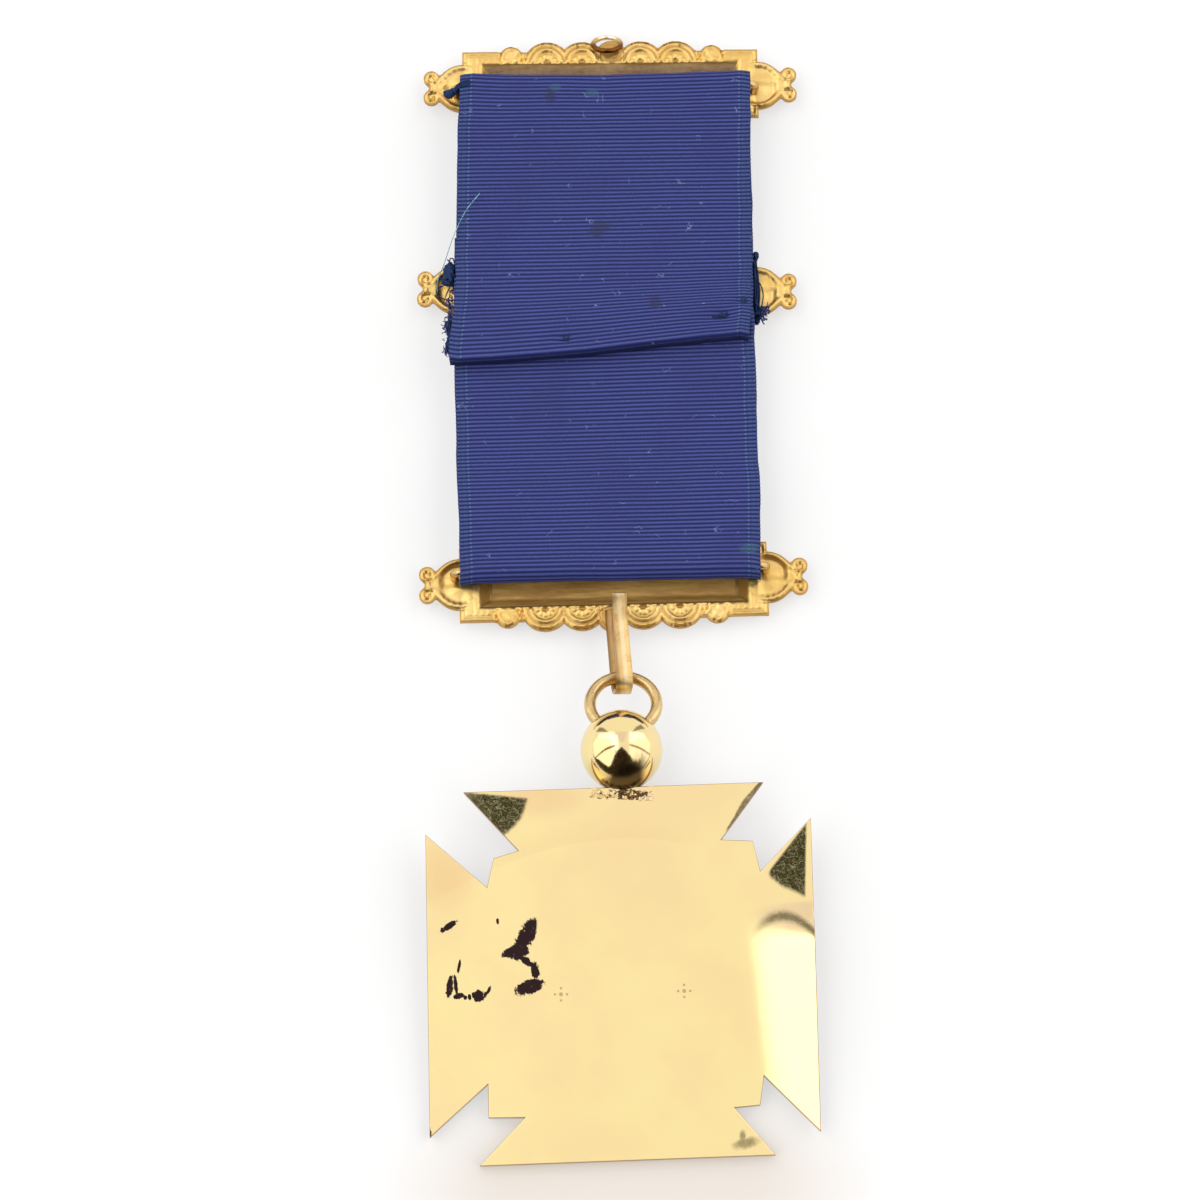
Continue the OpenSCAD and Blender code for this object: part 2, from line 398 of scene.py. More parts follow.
class WornGilt:
    """Polished gilt with its clouds, grain and scratches, before a piece's own marks."""

    def __init__(self, name, colours):
        self.paint = paint = Paint(name)
        self.at = paint.place()
        cloud = paint.noise(self.at, 0.09, 3.0).rise(0.35, 0.7)
        self.tone = paint.mix(cloud * 0.55, colours.polished, colours.rosy)
        self.fine = paint.noise(self.at, 1.6, 4.0)
        self.scratch = self.scratches(0.5).most(self.scratches(-1.1))

    def scratches(self, turn):
        """Thin lines that run one way, from 0 to 1."""
        return self.paint.streaks(self.at, (0.35, 9, 1), turn, 3.0).rise(0.62, 0.72)

    def finish(self, tone, rough):
        height = self.paint.noise(self.at, 0.5, 2.0) * 0.6 + self.fine * 0.1 - self.scratch * 0.15
        self.paint.set(base_color=tone, roughness=rough, metallic=1.0)
        self.paint.set(normal=self.paint.bump(height, 0.12, 0.02))
        return self.paint.material


def ball_paint(colours):
    """Worn gilt of the ball, darker brown at its foot."""
    gilt = WornGilt("ball_gold", colours)
    paint = gilt.paint
    x, y, _ = paint.axes(gilt.at)
    ragged = paint.streaks(gilt.at, (1.6, 0.6, 0.6)) - 0.5
    foot = (y - (x - 0.7) * 0.55 + ragged * 2.4).rise(-27.3, -28.7) * x.rise(4.2, 2.8)
    tone = paint.mix(foot * 0.92, gilt.tone, FOOT_BROWN)
    return gilt.finish(tone, 0.09 + gilt.fine * 0.04 + gilt.scratch * 0.06 + foot * 0.15)


def plate_paint(colours):
    """Worn gilt of the cross plate, with its blushes, fold, painted dark reflections, tarnish and painted
    brown shade on its cut edge.
    """
    gilt = WornGilt("polished_gold", colours)
    paint = gilt.paint
    x, y, _ = paint.axes(gilt.at)
    blush = paint.blob(x, y, *LEFT_BLUSH).rise(1.1, 0.2)
    blush = blush.most(paint.blob(x, y, *UPPER_BLUSH).rise(1.2, 0.3) * 0.8)
    tone = paint.mix(blush * 0.55, gilt.tone, BLUSH)
    off = x - FOLD_AT[0]
    fold = y - FOLD_AT[1] + off * off * 0.0125
    fold = fold.rise(-0.15, 0.15) * fold.rise(3.5, 0.2) * x.rise(12.0, 5.0)
    tone = paint.mix(fold * 0.2, tone, FOLD_TONE)
    ragged = paint.noise(gilt.at, 1.1, 4.0, 0.75) - 0.5
    # Painted dark reflections on some corners, a little rougher too
    dull_and_shade = dark_reflection_patches(paint, x, y, ragged)
    black = black_patches(paint, gilt.at, x, y, ragged)
    tone = paint.mix(dull_and_shade, tone, dark_reflection_tone(paint, gilt.at, x, y))
    tone = paint.mix(dot_crosses(paint, x, y) * 0.6, tone, DOT_TONE)
    tone = paint.mix(black, tone, colours.tarnish)
    # Painted brown shade on the plate's sides and underside
    tone = paint.mix(paint.own("rim").rise(0.2, 0.7) * 0.9, tone, RIM_SHADE)
    rough = 0.13 + gilt.fine * 0.05 + gilt.scratch * 0.1 + black * 0.4 + dull_and_shade * 0.16
    return gilt.finish(tone, rough)


def black_patches(paint, at, x, y, ragged):
    """Black tarnish with a torn rim and gold specks."""
    torn = paint.streaks(at, (2.6, 1.3, 1), 0.35, 4.0, 0.8) - 0.5
    specks = paint.streaks(at, (3.5, 1.2, 1), 0.3, 3.0, 0.8).rise(0.64, 0.69)
    black = paint.nearest(x, y, TARNISH_PATCHES) * 0.8 + ragged * 0.9 + torn * 1.3
    return black.rise(1.08, 0.97) * (1 - specks * 0.7)


def dark_reflection_patches(paint, x, y, ragged):
    """Painted dark reflections on the corners of the upper and right arms, in an arch over the bright band
    and in a patch at the foot.
    """
    upper = (paint.blob(x, y, *DARK_REFLECTION_CORNER) + ragged * 0.12).rise(1.03, 0.93)
    upper = upper * (y + (x + 18.5) * 0.11 + ragged * 0.3).rise(-29.95, -30.35)
    right = (x + y * -0.04 - 25.3 + ragged * 0.15).rise(-0.1, -0.45)
    low_rim = y + (x - 19.0) * 0.62 + x.near(20.4, 1.4) * 0.5 + ragged * 0.4
    right = right * low_rim.rise(-41.3, -40.5) * (x - 18.6).rise(0.0, 0.6)
    right = right * (y - x * 1.25 + 64.2).rise(0.5, -0.1)
    off = x - BAND_ARCH[0]
    arch = abs(y - BAND_ARCH[1] + off * off * 0.15 + ragged * 0.25)
    arch = arch.rise(1.15, 0.1) * off.rise(-4.4, -1.0) * 0.82
    foot_reflection = (paint.nearest(x, y, FOOT_DARK_REFLECTIONS) + ragged * 0.8).rise(1.1, 0.4) * 0.65
    inner = abs((x - 12.98) * -0.8 + (y + 36.29) * 0.6) / (y.near(-31.4, 2.4) * 0.75)
    inner = (inner + ragged * 0.5).rise(1.0, 0.6) * y.rise(-35.6, -34.8) * 0.85
    return upper.most(right).most(foot_reflection).most(arch).most(inner)


def dark_reflection_tone(paint, at, x, y):
    """Painted brown-green of the dark reflections, hazy at the upper corner and crossed by light curls."""
    grain = paint.noise(paint.stretch(at, (2.4, 4.5, 1), 0.4), 1.6, 4.0, 0.8).rise(0.42, 0.64)
    curls = abs(paint.noise(at, 0.85, 2.0) - 0.5).rise(0.022, 0.006)
    curls = curls * paint.noise(at, 0.9, 1.0).rise(0.42, 0.55)
    lines = curls.most(abs(paint.noise(at, 1.4, 2.0) - 0.47).rise(0.02, 0.006) * 0.7)
    haze = paint.blob(x, y, *CORNER_HAZE).rise(1.1, 0.3)
    tone = paint.mix(haze * 0.5, paint.mix(grain, DARK_REFLECTION, DARK_REFLECTION_GRAIN), DARK_REFLECTION_HAZE)
    return paint.mix(lines * 0.6, tone, DARK_REFLECTION_LINES)


def dot_crosses(paint, x, y):
    """The plate's two small ornaments, each four dots round a fifth."""
    found = paint.nearest(x, y, [(middle, MIDDLE_DOT) for middle in DOT_CROSSES])
    for cx, cy in DOT_CROSSES:
        dx, dy = abs(x - cx), abs(y - cy)
        along, across = dx.most(dy) - DOT_REACH, dx.least(dy)
        found = found.least((along * along + across * across) ** 0.5)
    return found.rise(0.2, 0.11)


# Finish of the struck bars and of the drawn wire

# Painted shade with some dust in the bars' hollows: streaked, and dusty where the tone is highest
STREAKED_HOLLOW_SHADE = (0.47, 0.29, 0.083)
DUSTY_SHADE = (0.22, 0.13, 0.058)
DUSTY_SHADE_STREAKS = (0.4, 0.265, 0.14)
WARM_WIRE = (0.55, 0.33, 0.11)
WARM_HOOK = (0.62, 0.37, 0.12)
WARM_RING = (0.56, 0.4, 0.2)
FRESH_SOLDER = (0.85, 0.7, 0.45)
WIRE_SPECKS = (0.25, 0.16, 0.07)
HOOK_STREAKS = (0.15, 0.095, 0.045)
# Painted shade on the hook's underside and edges, and a painted highlight down its middle
HOOK_UNDERSIDE_SHADE = (0.26, 0.14, 0.055)
HOOK_EDGE_SHADE = (0.34, 0.2, 0.075)
HOOK_HIGHLIGHT = (0.92, 0.78, 0.52)
EYELET_FOOT = (0.2, 0.075, 0.015)
# Painted highlight on the eyelet's top
EYELET_HIGHLIGHT = (0.93, 0.85, 0.68)
EYELET_SPLIT_Y = 74.7


def struck_paint(colours):
    """Satin gilt of the struck sheet, with painted shade and some dirt: brown where the mesh's own tone
    nears 1, and dusty and shaded over that.
    """
    paint = Paint("struck_gold")
    at = paint.place()
    depth = paint.own("hollow")
    fine = paint.noise(at, 1.3, 5.0, 0.65)
    grain = paint.noise(at, 6.5, 3.0, 0.7)
    cloud = paint.noise(at, 0.22, 3.0)
    dirt_and_shade = depth + (fine - 0.5) * 0.2
    dust_and_shade = dirt_and_shade.rise(0.5, 0.95)
    dusty_shade_mask = depth.rise(1.1, 1.4)
    streak = paint.streaks(at, (0.15, 1.4, 1), roughness=0.65).rise(0.36, 0.66)
    mottle = streak * 0.6 + fine.rise(0.35, 0.65) * 0.4
    tone = paint.mix(cloud.rise(0.35, 0.7) * 0.7, colours.struck, colours.pale_struck)
    tone = paint.mix(dirt_and_shade.rise(0.15, 0.6), tone, colours.amber)
    tone = paint.mix(dust_and_shade, tone, paint.mix(streak, colours.hollow, STREAKED_HOLLOW_SHADE))
    tone = paint.mix(dusty_shade_mask, tone, paint.mix(mottle, DUSTY_SHADE, DUSTY_SHADE_STREAKS))
    rough = 0.3 + dirt_and_shade * 0.14 + grain * 0.14
    paint.set(base_color=tone, roughness=rough, metallic=(1 - dust_and_shade * 0.5) * (1 - dusty_shade_mask))
    paint.set(normal=paint.bump(fine * 0.5 + grain * 0.5, 0.55, 0.06))
    return paint.material


def hook_wear_and_shading(paint, tone, at, x, y, z):
    """Worn dark streaks at the hook's bend, painted brown shade on the underside and edges, and a painted
    highlight down the middle.
    """
    worn = paint.streaks(at, (5, 0.5, 1), roughness=0.75).rise(0.5, 0.66) * y.rise(-13.0, -8.5)
    worn = worn * x.near(-0.1, 0.5)
    off, top = abs(x + y * 0.082 - 0.1), z.rise(4.2, 5.0)
    tone = paint.mix(worn * 0.75, tone, HOOK_STREAKS)
    tone = paint.mix(z.rise(4.6, 3.6) * 0.8, tone, HOOK_UNDERSIDE_SHADE)
    tone = paint.mix(off.rise(0.6, 1.0) * top * 0.7, tone, HOOK_EDGE_SHADE)
    tone = paint.mix(off.rise(0.45, 0.1) * top * 0.45, tone, HOOK_HIGHLIGHT)
    return tone, worn * 0.15 + 0.1


def eyelet_foot_and_highlight(paint, tone, at, x, y, z):
    """Brown at the foot and a painted pale highlight on the top."""
    up = y - EYELET_SPLIT_Y
    tone = paint.mix(up.rise(0.6, -0.8), tone, EYELET_FOOT)
    return paint.mix(up.rise(0.5, 1.1), tone, EYELET_HIGHLIGHT), 0


def old_gilt_paint(colours, name, warm=WARM_WIRE, wear_and_shading=None):
    """Duller drawn wire and strip. A function for its worn marks and painted shading adds to the tone and
    the roughness.
    """
    paint = Paint(name)
    at = paint.place()
    cloud = paint.noise(at, 0.5, 4.0, 0.6)
    fine = paint.noise(at, 3.0, 3.0)
    tone = paint.mix(cloud.rise(0.38, 0.66) * 0.6, colours.old_gilt, warm)
    tone = paint.mix((fine * cloud).rise(0.28, 0.4) * 0.3, tone, WIRE_SPECKS)
    rough = 0.2 + fine * 0.16
    if wear_and_shading:
        tone, rougher = wear_and_shading(paint, tone, at, *paint.axes(at))
        rough = rough + rougher
    paint.set(base_color=tone, roughness=rough, metallic=1.0)
    paint.set(normal=paint.bump(fine + cloud, 0.25, 0.03))
    return paint.material


# Finish of the ribbon and threads. Stains and marks are middle, half sizes and turn

RIBBON_CLOUD = (0.012, 0.014, 0.07)
EDGE_STITCH = (0.1, 0.19, 0.27)
RIBBON_STAIN = (0.014, 0.015, 0.035)
TEAL = (0.03, 0.085, 0.1)
HAIR = (0.2, 0.27, 0.42)
HEM_SHADE = (0.004, 0.006, 0.034)
SHEEN = (0.45, 0.5, 0.9)
RIBBON_STAINS = [((-1.3, 46.2), (1.7, 1.2), 30), ((5.8, 35.4), (1.0, 1.3)), ((-7.7, 65.2), (0.9, 1.2))]
TEAL_MARKS = [
    ((-2.2, 65.6), (1.1, 0.8)),
    ((17.3, 1.6), (1.6, 0.8)),
    ((-7.0, 66.4), (1.0, 0.6)),
    ((-2.4, 24.9), (0.45, 0.3)),
]
STITCH_IN = 1.5
SEAMS_IN = (1.22, 0.55)


def ribbon_paint(colours, ribs, width_mm, hem):
    """Ribbed ribbon: U runs across it and V along it, and the rolled hem starts at V = hem, from where it
    gets painted shade.
    """
    paint = Paint("ribbed_ribbon")
    at = paint.place()
    x, y, _ = paint.axes(at)
    along = paint.node("ShaderNodeUVMap", {"uv_map": "weave"})
    u, v, _ = paint.axes(along)
    phase = (v * ribs).fraction()
    crest = 1 - abs(phase * 2 - 1)
    edge = (0.5 - abs(u - 0.5)) * width_mm
    warp = paint.streaks(along, (width_mm * 4.5, ribs * 0.9, 1), detail=2.0, roughness=0.6)
    cloud = paint.noise(at, 0.12, 3.0)
    wear_and_shading = paint.noise(at, 0.9, 4.0, 0.7)
    ragged = paint.noise(at, 0.8, 3.0, 0.7) - 0.5
    shade = crest.rise(0.15, 0.9) * (0.42 + warp * 0.84 + wear_and_shading * 0.32)
    faded = edge.rise(1.9, 0.9) * (0.3 + warp * 0.5)
    stitch = abs(edge - STITCH_IN).rise(0.14, 0.05) * abs(phase - 0.5).rise(0.3, 0.12)
    seam = abs(edge - SEAMS_IN[0]).least(abs(edge - SEAMS_IN[1])).rise(0.12, 0.03)
    stain = (paint.nearest(x, y, RIBBON_STAINS) + ragged * 1.4).rise(1.1, 0.5)
    teal = (paint.nearest(x, y, TEAL_MARKS) + ragged * 1.2).rise(1.1, 0.4)
    hair = abs(paint.noise(at, 0.75, 1.0) - 0.5).rise(0.016, 0.004)
    hair = hair * paint.noise(at, 0.62, 0.0).rise(0.73, 0.79)
    tone = paint.mix(shade, colours.groove, colours.rib)
    for share, mark in (
        (cloud.rise(0.45, 0.8) * 0.3, RIBBON_CLOUD),
        (faded * shade, colours.selvedge),
        (stitch * warp * 0.6, EDGE_STITCH),
        (seam * 0.22, colours.groove),
        (stain * 0.55, RIBBON_STAIN),
        (teal * 0.32, TEAL),
        (hair * 0.36, HAIR),
        # Painted shade over the rolled hem
        (v.rise(hem, hem + 0.004) * 0.9, HEM_SHADE),
    ):
        tone = paint.mix(share, tone, mark)
    height = crest.rise(0.0, 0.7) * 0.5 + warp * 0.5 - seam * 0.4
    paint.set(base_color=tone, roughness=0.7, metallic=0.0, specular_ior_level=0.12)
    paint.set(sheen_weight=0.03, sheen_roughness=0.4, sheen_tint=SHEEN)
    paint.set(normal=paint.bump(height, 0.5, 0.05))
    return paint.material


def matt_paint(name, tone, light):
    """Matt finish of threads and of burnt solder, mottled between two tones."""
    paint = Paint(name)
    twist = paint.noise(paint.place(), 6.0, 2.0)
    paint.set(base_color=paint.mix(twist.rise(0.35, 0.65), tone, light), roughness=0.75, metallic=0.0)
    paint.set(specular_ior_level=0.08)
    return paint.material


# Struck bars. Their tone is painted shade in the struck recesses, with some dirt: a tone of 1 is brown in a
# hollow, and the highest tone is dusty and shaded

BAR_REACH = (25.2, 6.9)
BEAD_PITCH = 0.8
DUSTY_SHADE_TONE = 1.5
DIM_TONE = 0.86
RIM_STEEPNESS = 0.8
LEAST_STEEPNESS = 0.45
LEAST_Z = 0.02


def box_distance(u, v, half_u, half_v):
    du, dv = np.abs(u) - half_u, np.abs(v) - half_v
    outside = np.hypot(np.maximum(du, 0), np.maximum(dv, 0))
    return outside + np.minimum(np.maximum(du, dv), 0)


def disc_distance(u, v, cu, cv, r):
    return np.hypot(u - cu, v - cv) - r


def blend(a, b, reach):
    """The lesser of two distances, rounded where they meet."""
    near = np.maximum(reach - np.abs(a - b), 0) / reach
    return np.minimum(a, b) - near * near * reach / 4


def end_distance(u, v):
    """Signed distance to the bulge and neck at either end of a bar."""
    side, up = np.abs(u), np.abs(v - END_V)
    (root, wide), (tip, narrow) = NECK
    slope = (wide - narrow) / (tip - root)
    half = wide - slope * (side - root)
    neck = np.maximum.reduce([(up - half) / math.hypot(1, slope), root - side, side - tip])
    return blend(disc_distance(side, up, BULGE[0], 0, BULGE[1]), neck, 0.5)


def bar_outline(u, v):
    """Signed distance to the bar's outline, crest towards +V, negative inside."""
    side, up = np.abs(u), np.abs(v - END_V)
    end = blend(end_distance(u, v), disc_distance(side, up, *CURL), 0.35)
    shapes = [box_distance(u, v, PLATE[0] / 2, PLATE[1] / 2), disc_distance(u, v, *BOSS), end]
    shapes += [disc_distance(u, v, cu, SHELL_V, SHELL_R) for cu in SHELLS]
    shapes += [disc_distance(u, v, cu, LEAF_V, LEAF_R) for cu in LEAVES]
    return np.minimum.reduce(shapes)


def shell_form(du, dv, beat):
    """Height and painted shade of one shell: a rounded rim, three lines struck round it, a fan and a hole.
    """
    r, turn = np.hypot(du, dv), np.arctan2(dv, du)
    inward = SHELL_R - r
    rim = smooth_step(0.5, 0.0, inward)
    outer, ridge, inner = hill(inward - 0.78, 0.2), hill(inward - 1.18, 0.26), hill(inward - 1.62, 0.2)
    fan = smooth_step(1.6, 1.95, inward)
    hole = smooth_step(0.66, 0.34, np.hypot(du, (dv + SHELL_V - 3.25) * 1.15))
    height = -0.44 * rim - 0.24 * outer + 0.12 * ridge - 0.22 * inner - 0.34 * hole
    height = height + fan * (0.07 * np.cos(turn * 10 + beat) - 0.04)
    dull_and_shade = 0.5 * hill(inward - 0.78, 0.22) + 0.4 * hill(inward - 1.62, 0.2) + 0.2 * rim
    dull_and_shade = dull_and_shade + 0.75 * hole + 0.06 * fan * (1 - np.cos(turn * 11 + beat))
    return height, dull_and_shade


def leaf_form(du, dv):
    """Height and painted shade of one leaf, with du away from the middle of the crest."""
    r, turn = np.hypot(du, dv), np.arctan2(dv, du)
    vein = np.cos((du + dv * 0.7) * 5.2)
    line = hill(r - 0.95, 0.2) * (turn > -0.4)
    height = -0.36 * smooth_step(1.1, 1.6, r) - 0.08 * line + 0.06 * vein
    return height, 0.28 * line + 0.08 * (1 - vein)


def shell_relief(u, v):
    """Height of the shells and leaves along the crest, and their painted shade."""
    height, dull_and_shade = np.zeros_like(u), np.zeros_like(u)

    def lay(weight, form):
        nonlocal height, dull_and_shade
        height = height * (1 - weight) + form[0] * weight
        dull_and_shade = dull_and_shade * (1 - weight) + form[1] * weight

    for k, cu in enumerate(SHELLS):
        du, dv = u - cu, v - SHELL_V
        outward = du * math.copysign(1, cu - CREST_MID)
        last = abs(cu - CREST_MID) > SHELL_FIRST + 1
        reach = SHELL_R if last else SHELL_PITCH / 2
        own = smooth_step(reach + 0.08, reach - 0.12, outward)
        own = own * smooth_step(SHELL_PITCH / 2 + 0.08, SHELL_PITCH / 2 - 0.12, -outward)
        inside = smooth_step(0.05, -0.1, np.hypot(du, dv) - SHELL_R) * smooth_step(3.15, 3.45, v)
        lay(inside * own, shell_form(du, dv, k))
    for cu in LEAVES:
        du, dv = (u - cu) * math.copysign(1, cu - CREST_MID), v - LEAF_V
        lay(smooth_step(0.1, -0.1, np.hypot(du, dv) - LEAF_R) * smooth_step(3.2, 3.5, v), leaf_form(du, dv))
    return height, dull_and_shade


def curl_form(side, up):
    """Height, painted shade and reach of the two curls: a ridge that coils in to the middle of a bowl."""
    away = np.hypot(side - CURL[0], np.abs(up) - CURL[1])
    angle = np.mod(np.arctan2(np.abs(up) - CURL[1], side - CURL[0]) + 2.4, 2 * math.pi)
    coil = 0.84 - 0.6 * angle / (2 * math.pi)
    height = -0.34 + 0.32 * hill(away - coil, 0.15) - 0.18 * smooth_step(0.82, 1.05, away)
    height = height + 0.3 * smooth_step(0.55, 1.0, away)
    return height, 0.45 * hill(away - coil + 0.27, 0.15), smooth_step(1.12, 0.9, away)


def end_relief(u, v):
    """Height of the scrolled end: satin bowl, beaded rim on the crest's side, neck and two curls."""
    side, up = np.abs(u), v - END_V
    d = end_distance(u, v)
    turn = np.arctan2(up, side - BULGE[0])
    out = smooth_step(18.3, 19.5, side) * smooth_step(0.3, -0.2, d)
    shelf = smooth_step(22.6, 21.6, side)
    crest_side = smooth_step(-0.3, 0.8, up)
    foot_side = 1 - crest_side
    wall = -0.62 * smooth_step(-0.32, -1.05, d) * (0.55 + 0.45 * foot_side) * (0.35 + 0.65 * shelf)
    swell = 0.26 * smooth_step(-1.2, -3.0, d)
    rim = -0.3 * smooth_step(-0.3, 0.0, d)
    beads = 0.09 * hill(d + 0.72, 0.26) * (0.6 + 0.4 * np.cos(turn * 21)) * crest_side
    thread = 0.12 * hill(d + 0.5, 0.12) * foot_side
    height = out * (wall + swell + rim + beads + thread)
    dull_and_shade = out * 0.85 * hill(d + 0.78, 0.26) * foot_side * shelf
    dull_and_shade = dull_and_shade + out * 0.3 * hill(d + 1.15, 0.2) * crest_side
    bend, tone, near = curl_form(side, up)
    return height * (1 - near) + bend * near, dull_and_shade * (1 - near) + tone * near


def bar_relief(u, v, seed, grain, dim):
    """Height over the bar's back plane and painted shade with some dirt, for the hollow side of a struck
    bar.
    """
    d = box_distance(u, v, HOLLOW[0] / 2, HOLLOW[1] / 2)
    wall = np.clip(-d / HOLLOW_SLOPE, 0, HOLLOW_DEPTH)
    channel = -HOLLOW_DEPTH * smooth_step(0, HOLLOW_DEPTH, wall) ** 0.9
    past_end = (np.abs(u) - HOLLOW[0] / 2) - (np.abs(v) - HOLLOW[1] / 2)
    at_end = smooth_step(-0.15, 0.15, past_end)
    jag = value_noise(u * 2.6, v * 2.6, seed + 21)
    lip = (0.06 + 0.05 * jag * at_end) * hill(d - 0.26, 0.17)
    shelf = box_distance(u, v, PLATE[0] / 2, PLATE[1] / 2)
    on_plate = smooth_step(0.4, -0.1, shelf)
    border = (0.07 * hill(shelf + 0.28, 0.15) - 0.13 * hill(shelf + 0.62, 0.17)) * on_plate
    crest_zone = smooth_step(15.3, 14.9, np.abs(u - CREST_MID)) * (v > 0)
    end_zone = smooth_step(3.4, 3.0, np.abs(v - END_V)) * (np.abs(u) > 18.3)
    plain = (1 - crest_zone) * (1 - end_zone)
    beads = hill(v - 3.82, 0.2) * np.cos(u * 2 * math.pi / BEAD_PITCH)
    beads = beads * smooth_step(18.6, 18.3, np.abs(u)) * (1 - crest_zone)
    shells, shell_dull_and_shade = shell_relief(u, v)
    ends, end_dull_and_shade = end_relief(u, v)
    boss = disc_distance(u, v, *BOSS)
    knob = smooth_step(0.1, -0.3, boss) * (v > 3.2)
    knob_height = 0.05 - 0.25 * hill(boss + 0.5, 0.2) - 0.3 * smooth_step(-0.3, 0, boss)
    struck = np.abs(shells) > 1e-6
    crest = np.where(struck, shells, -0.2 * crest_zone * smooth_step(3.4, 3.8, v))
    crest = crest * (1 - knob) + knob_height * knob
    rough = grain * (value_noise(u * 1.9, v * 1.9, seed) + 0.6 * value_noise(u * 4.3, v * 4.3, seed + 9))
    dent = 0.035 * value_noise(u * 0.55, v * 0.55, seed + 3)
    fine = 0.035 * crest_zone * value_noise(u * 3.3, v * 3.3, seed + 5) * (v > 3.3)
    rim = smooth_step(-0.42, -0.1, bar_outline(u, v))
    height = channel + (lip + border * plain + crest + 0.05 * beads) * smooth_step(-0.25, 0.1, d) + ends
    height = height + rough + dent * smooth_step(-0.2, 0.4, d) + fine - 0.12 * rim
    # Painted shade with some dirt: the channel floor, more of it on the crest side beside the ribbon, the
    # struck lines, the gaps between shells and the rim
    deep = smooth_step(0.05, 0.7, wall)
    spandrel = 0.42 * crest_zone * (~struck) * (v > 3.5)
    sloping = smooth_step(HOLLOW_DEPTH, HOLLOW_DEPTH * 0.9, wall)
    floor_tone = deep * (dim - (dim - 0.02) * at_end * sloping)
    shaded = deep * sloping * (1 - at_end) * (v > 0)
    floor_tone = floor_tone + (min(DUSTY_SHADE_TONE, dim + 0.25) - floor_tone) * shaded
    dull_and_shade = np.maximum.reduce([floor_tone, shell_dull_and_shade, end_dull_and_shade, spandrel, 0.62 * rim])
    dull_and_shade = dull_and_shade + 0.35 * hill(shelf + 0.62, 0.16) * plain * (d > 0) + 0.2 * knob
    dull_and_shade = dull_and_shade + 0.25 * hill(d, 0.1) * (1 - at_end) + 0.1 * np.maximum(-beads, 0)
    return height, np.clip(dull_and_shade, 0, DUSTY_SHADE_TONE)


def bar_blank(cell):
    """A flat sheet of cells, cut to the bar's outline."""
    bm = bmesh.new()
    across, up = [int(round(2 * half / cell)) for half in BAR_REACH]
    bmesh.ops.create_grid(bm, x_segments=across, y_segments=up, size=1)
    bmesh.ops.scale(bm, vec=(*BAR_REACH, 1), verts=bm.verts)
    mids = np.array([f.calc_center_median() for f in bm.faces])
    outside = bar_outline(mids[:, 0], mids[:, 1]) > -0.12 * cell
    waste = [f for f, gone in zip(bm.faces, outside) if gone]
    bmesh.ops.delete(bm, geom=waste, context="FACES")
    loose = [v for v in bm.verts if not v.link_faces]
    bmesh.ops.delete(bm, geom=loose, context="VERTS")
    lone = [f for f in bm.faces if sum(e.is_boundary for e in f.edges) >= 3]
    bmesh.ops.delete(bm, geom=lone, context="FACES")
    return bm


def pulled_to_outline(u, v, step=0.01):
    """The same points, moved on to the bar's outline."""
    for _ in range(6):
        d = bar_outline(u, v)
        along_u = (bar_outline(u + step, v) - bar_outline(u - step, v)) / (2 * step)
        along_v = (bar_outline(u, v + step) - bar_outline(u, v - step)) / (2 * step)
        size = np.maximum(along_u * along_u + along_v * along_v, 0.2)
        u, v = u - d * along_u / size, v - d * along_v / size
    return u, v


def bar_solid(cell, seed, grain, dim):
    """A bar's struck sheet in its own place, crest towards +Y: cut out, struck and given its wall."""
    bm = bar_blank(cell)
    co = verts_array(bm)
    rim = np.array([v.is_boundary for v in bm.verts])
    co[rim, 0], co[rim, 1] = pulled_to_outline(co[rim, 0], co[rim, 1])
    height, dull_and_shade = bar_relief(co[:, 0], co[:, 1], seed, grain, dim)
    co[:, 2] = BAR_DEPTH + height
    place_verts(bm, co)
    bm.normal_update()
    if sum(f.normal.z for f in bm.faces) < 0:
        bmesh.ops.reverse_faces(bm, faces=bm.faces)
        bm.normal_update()
    # The layer carries the painted shade and dirt that struck_paint turns into colour
    layer = bm.verts.layers.float.new("hollow")
    for vert, tone in zip(bm.verts, dull_and_shade):
        vert[layer] = tone
    top = list(bm.faces)
    steep = [RIM_STEEPNESS if v.is_boundary else max(v.normal.z, LEAST_STEEPNESS) for v in bm.verts]
    number = numbered(bm)
    under = bmesh.ops.extrude_face_region(bm, geom=top, use_keep_orig=True)
    for vert in [g for g in under["geom"] if isinstance(g, bmesh.types.BMVert)]:
        vert.co.z = max(vert.co.z - BAR_SHEET / steep[vert[number]], LEAST_Z)
    bm.verts.layers.int.remove(bm.verts.layers.int["number"])
    bmesh.ops.recalc_face_normals(bm, faces=bm.faces)
    return bm


def bar_matrix(name):
    x, y, turn = BARS[name]
    return Matrix.Translation((x, y, 0)) @ Matrix.Rotation(math.radians(turn), 4, "Z")


# Wires and strips


def frames_along(points, up=(0, 0, 1)):
    """A matrix at each point of a path, with Z along it."""
    points = [Vector(p) for p in points]
    made = []
    side = None
    for i, p in enumerate(points):
        ahead = points[min(i + 1, len(points) - 1)] - points[max(i - 1, 0)]
        ahead.normalize()
        if side is None:
            side = Vector(up).cross(ahead)
            if side.length < 1e-3:
                side = Vector((1, 0, 0)).cross(ahead)
        side = (side - ahead * side.dot(ahead)).normalized()
        across = ahead.cross(side)
        turned = Matrix((side, across, ahead)).transposed().to_4x4()
        made.append(Matrix.Translation(p) @ turned)
    return made


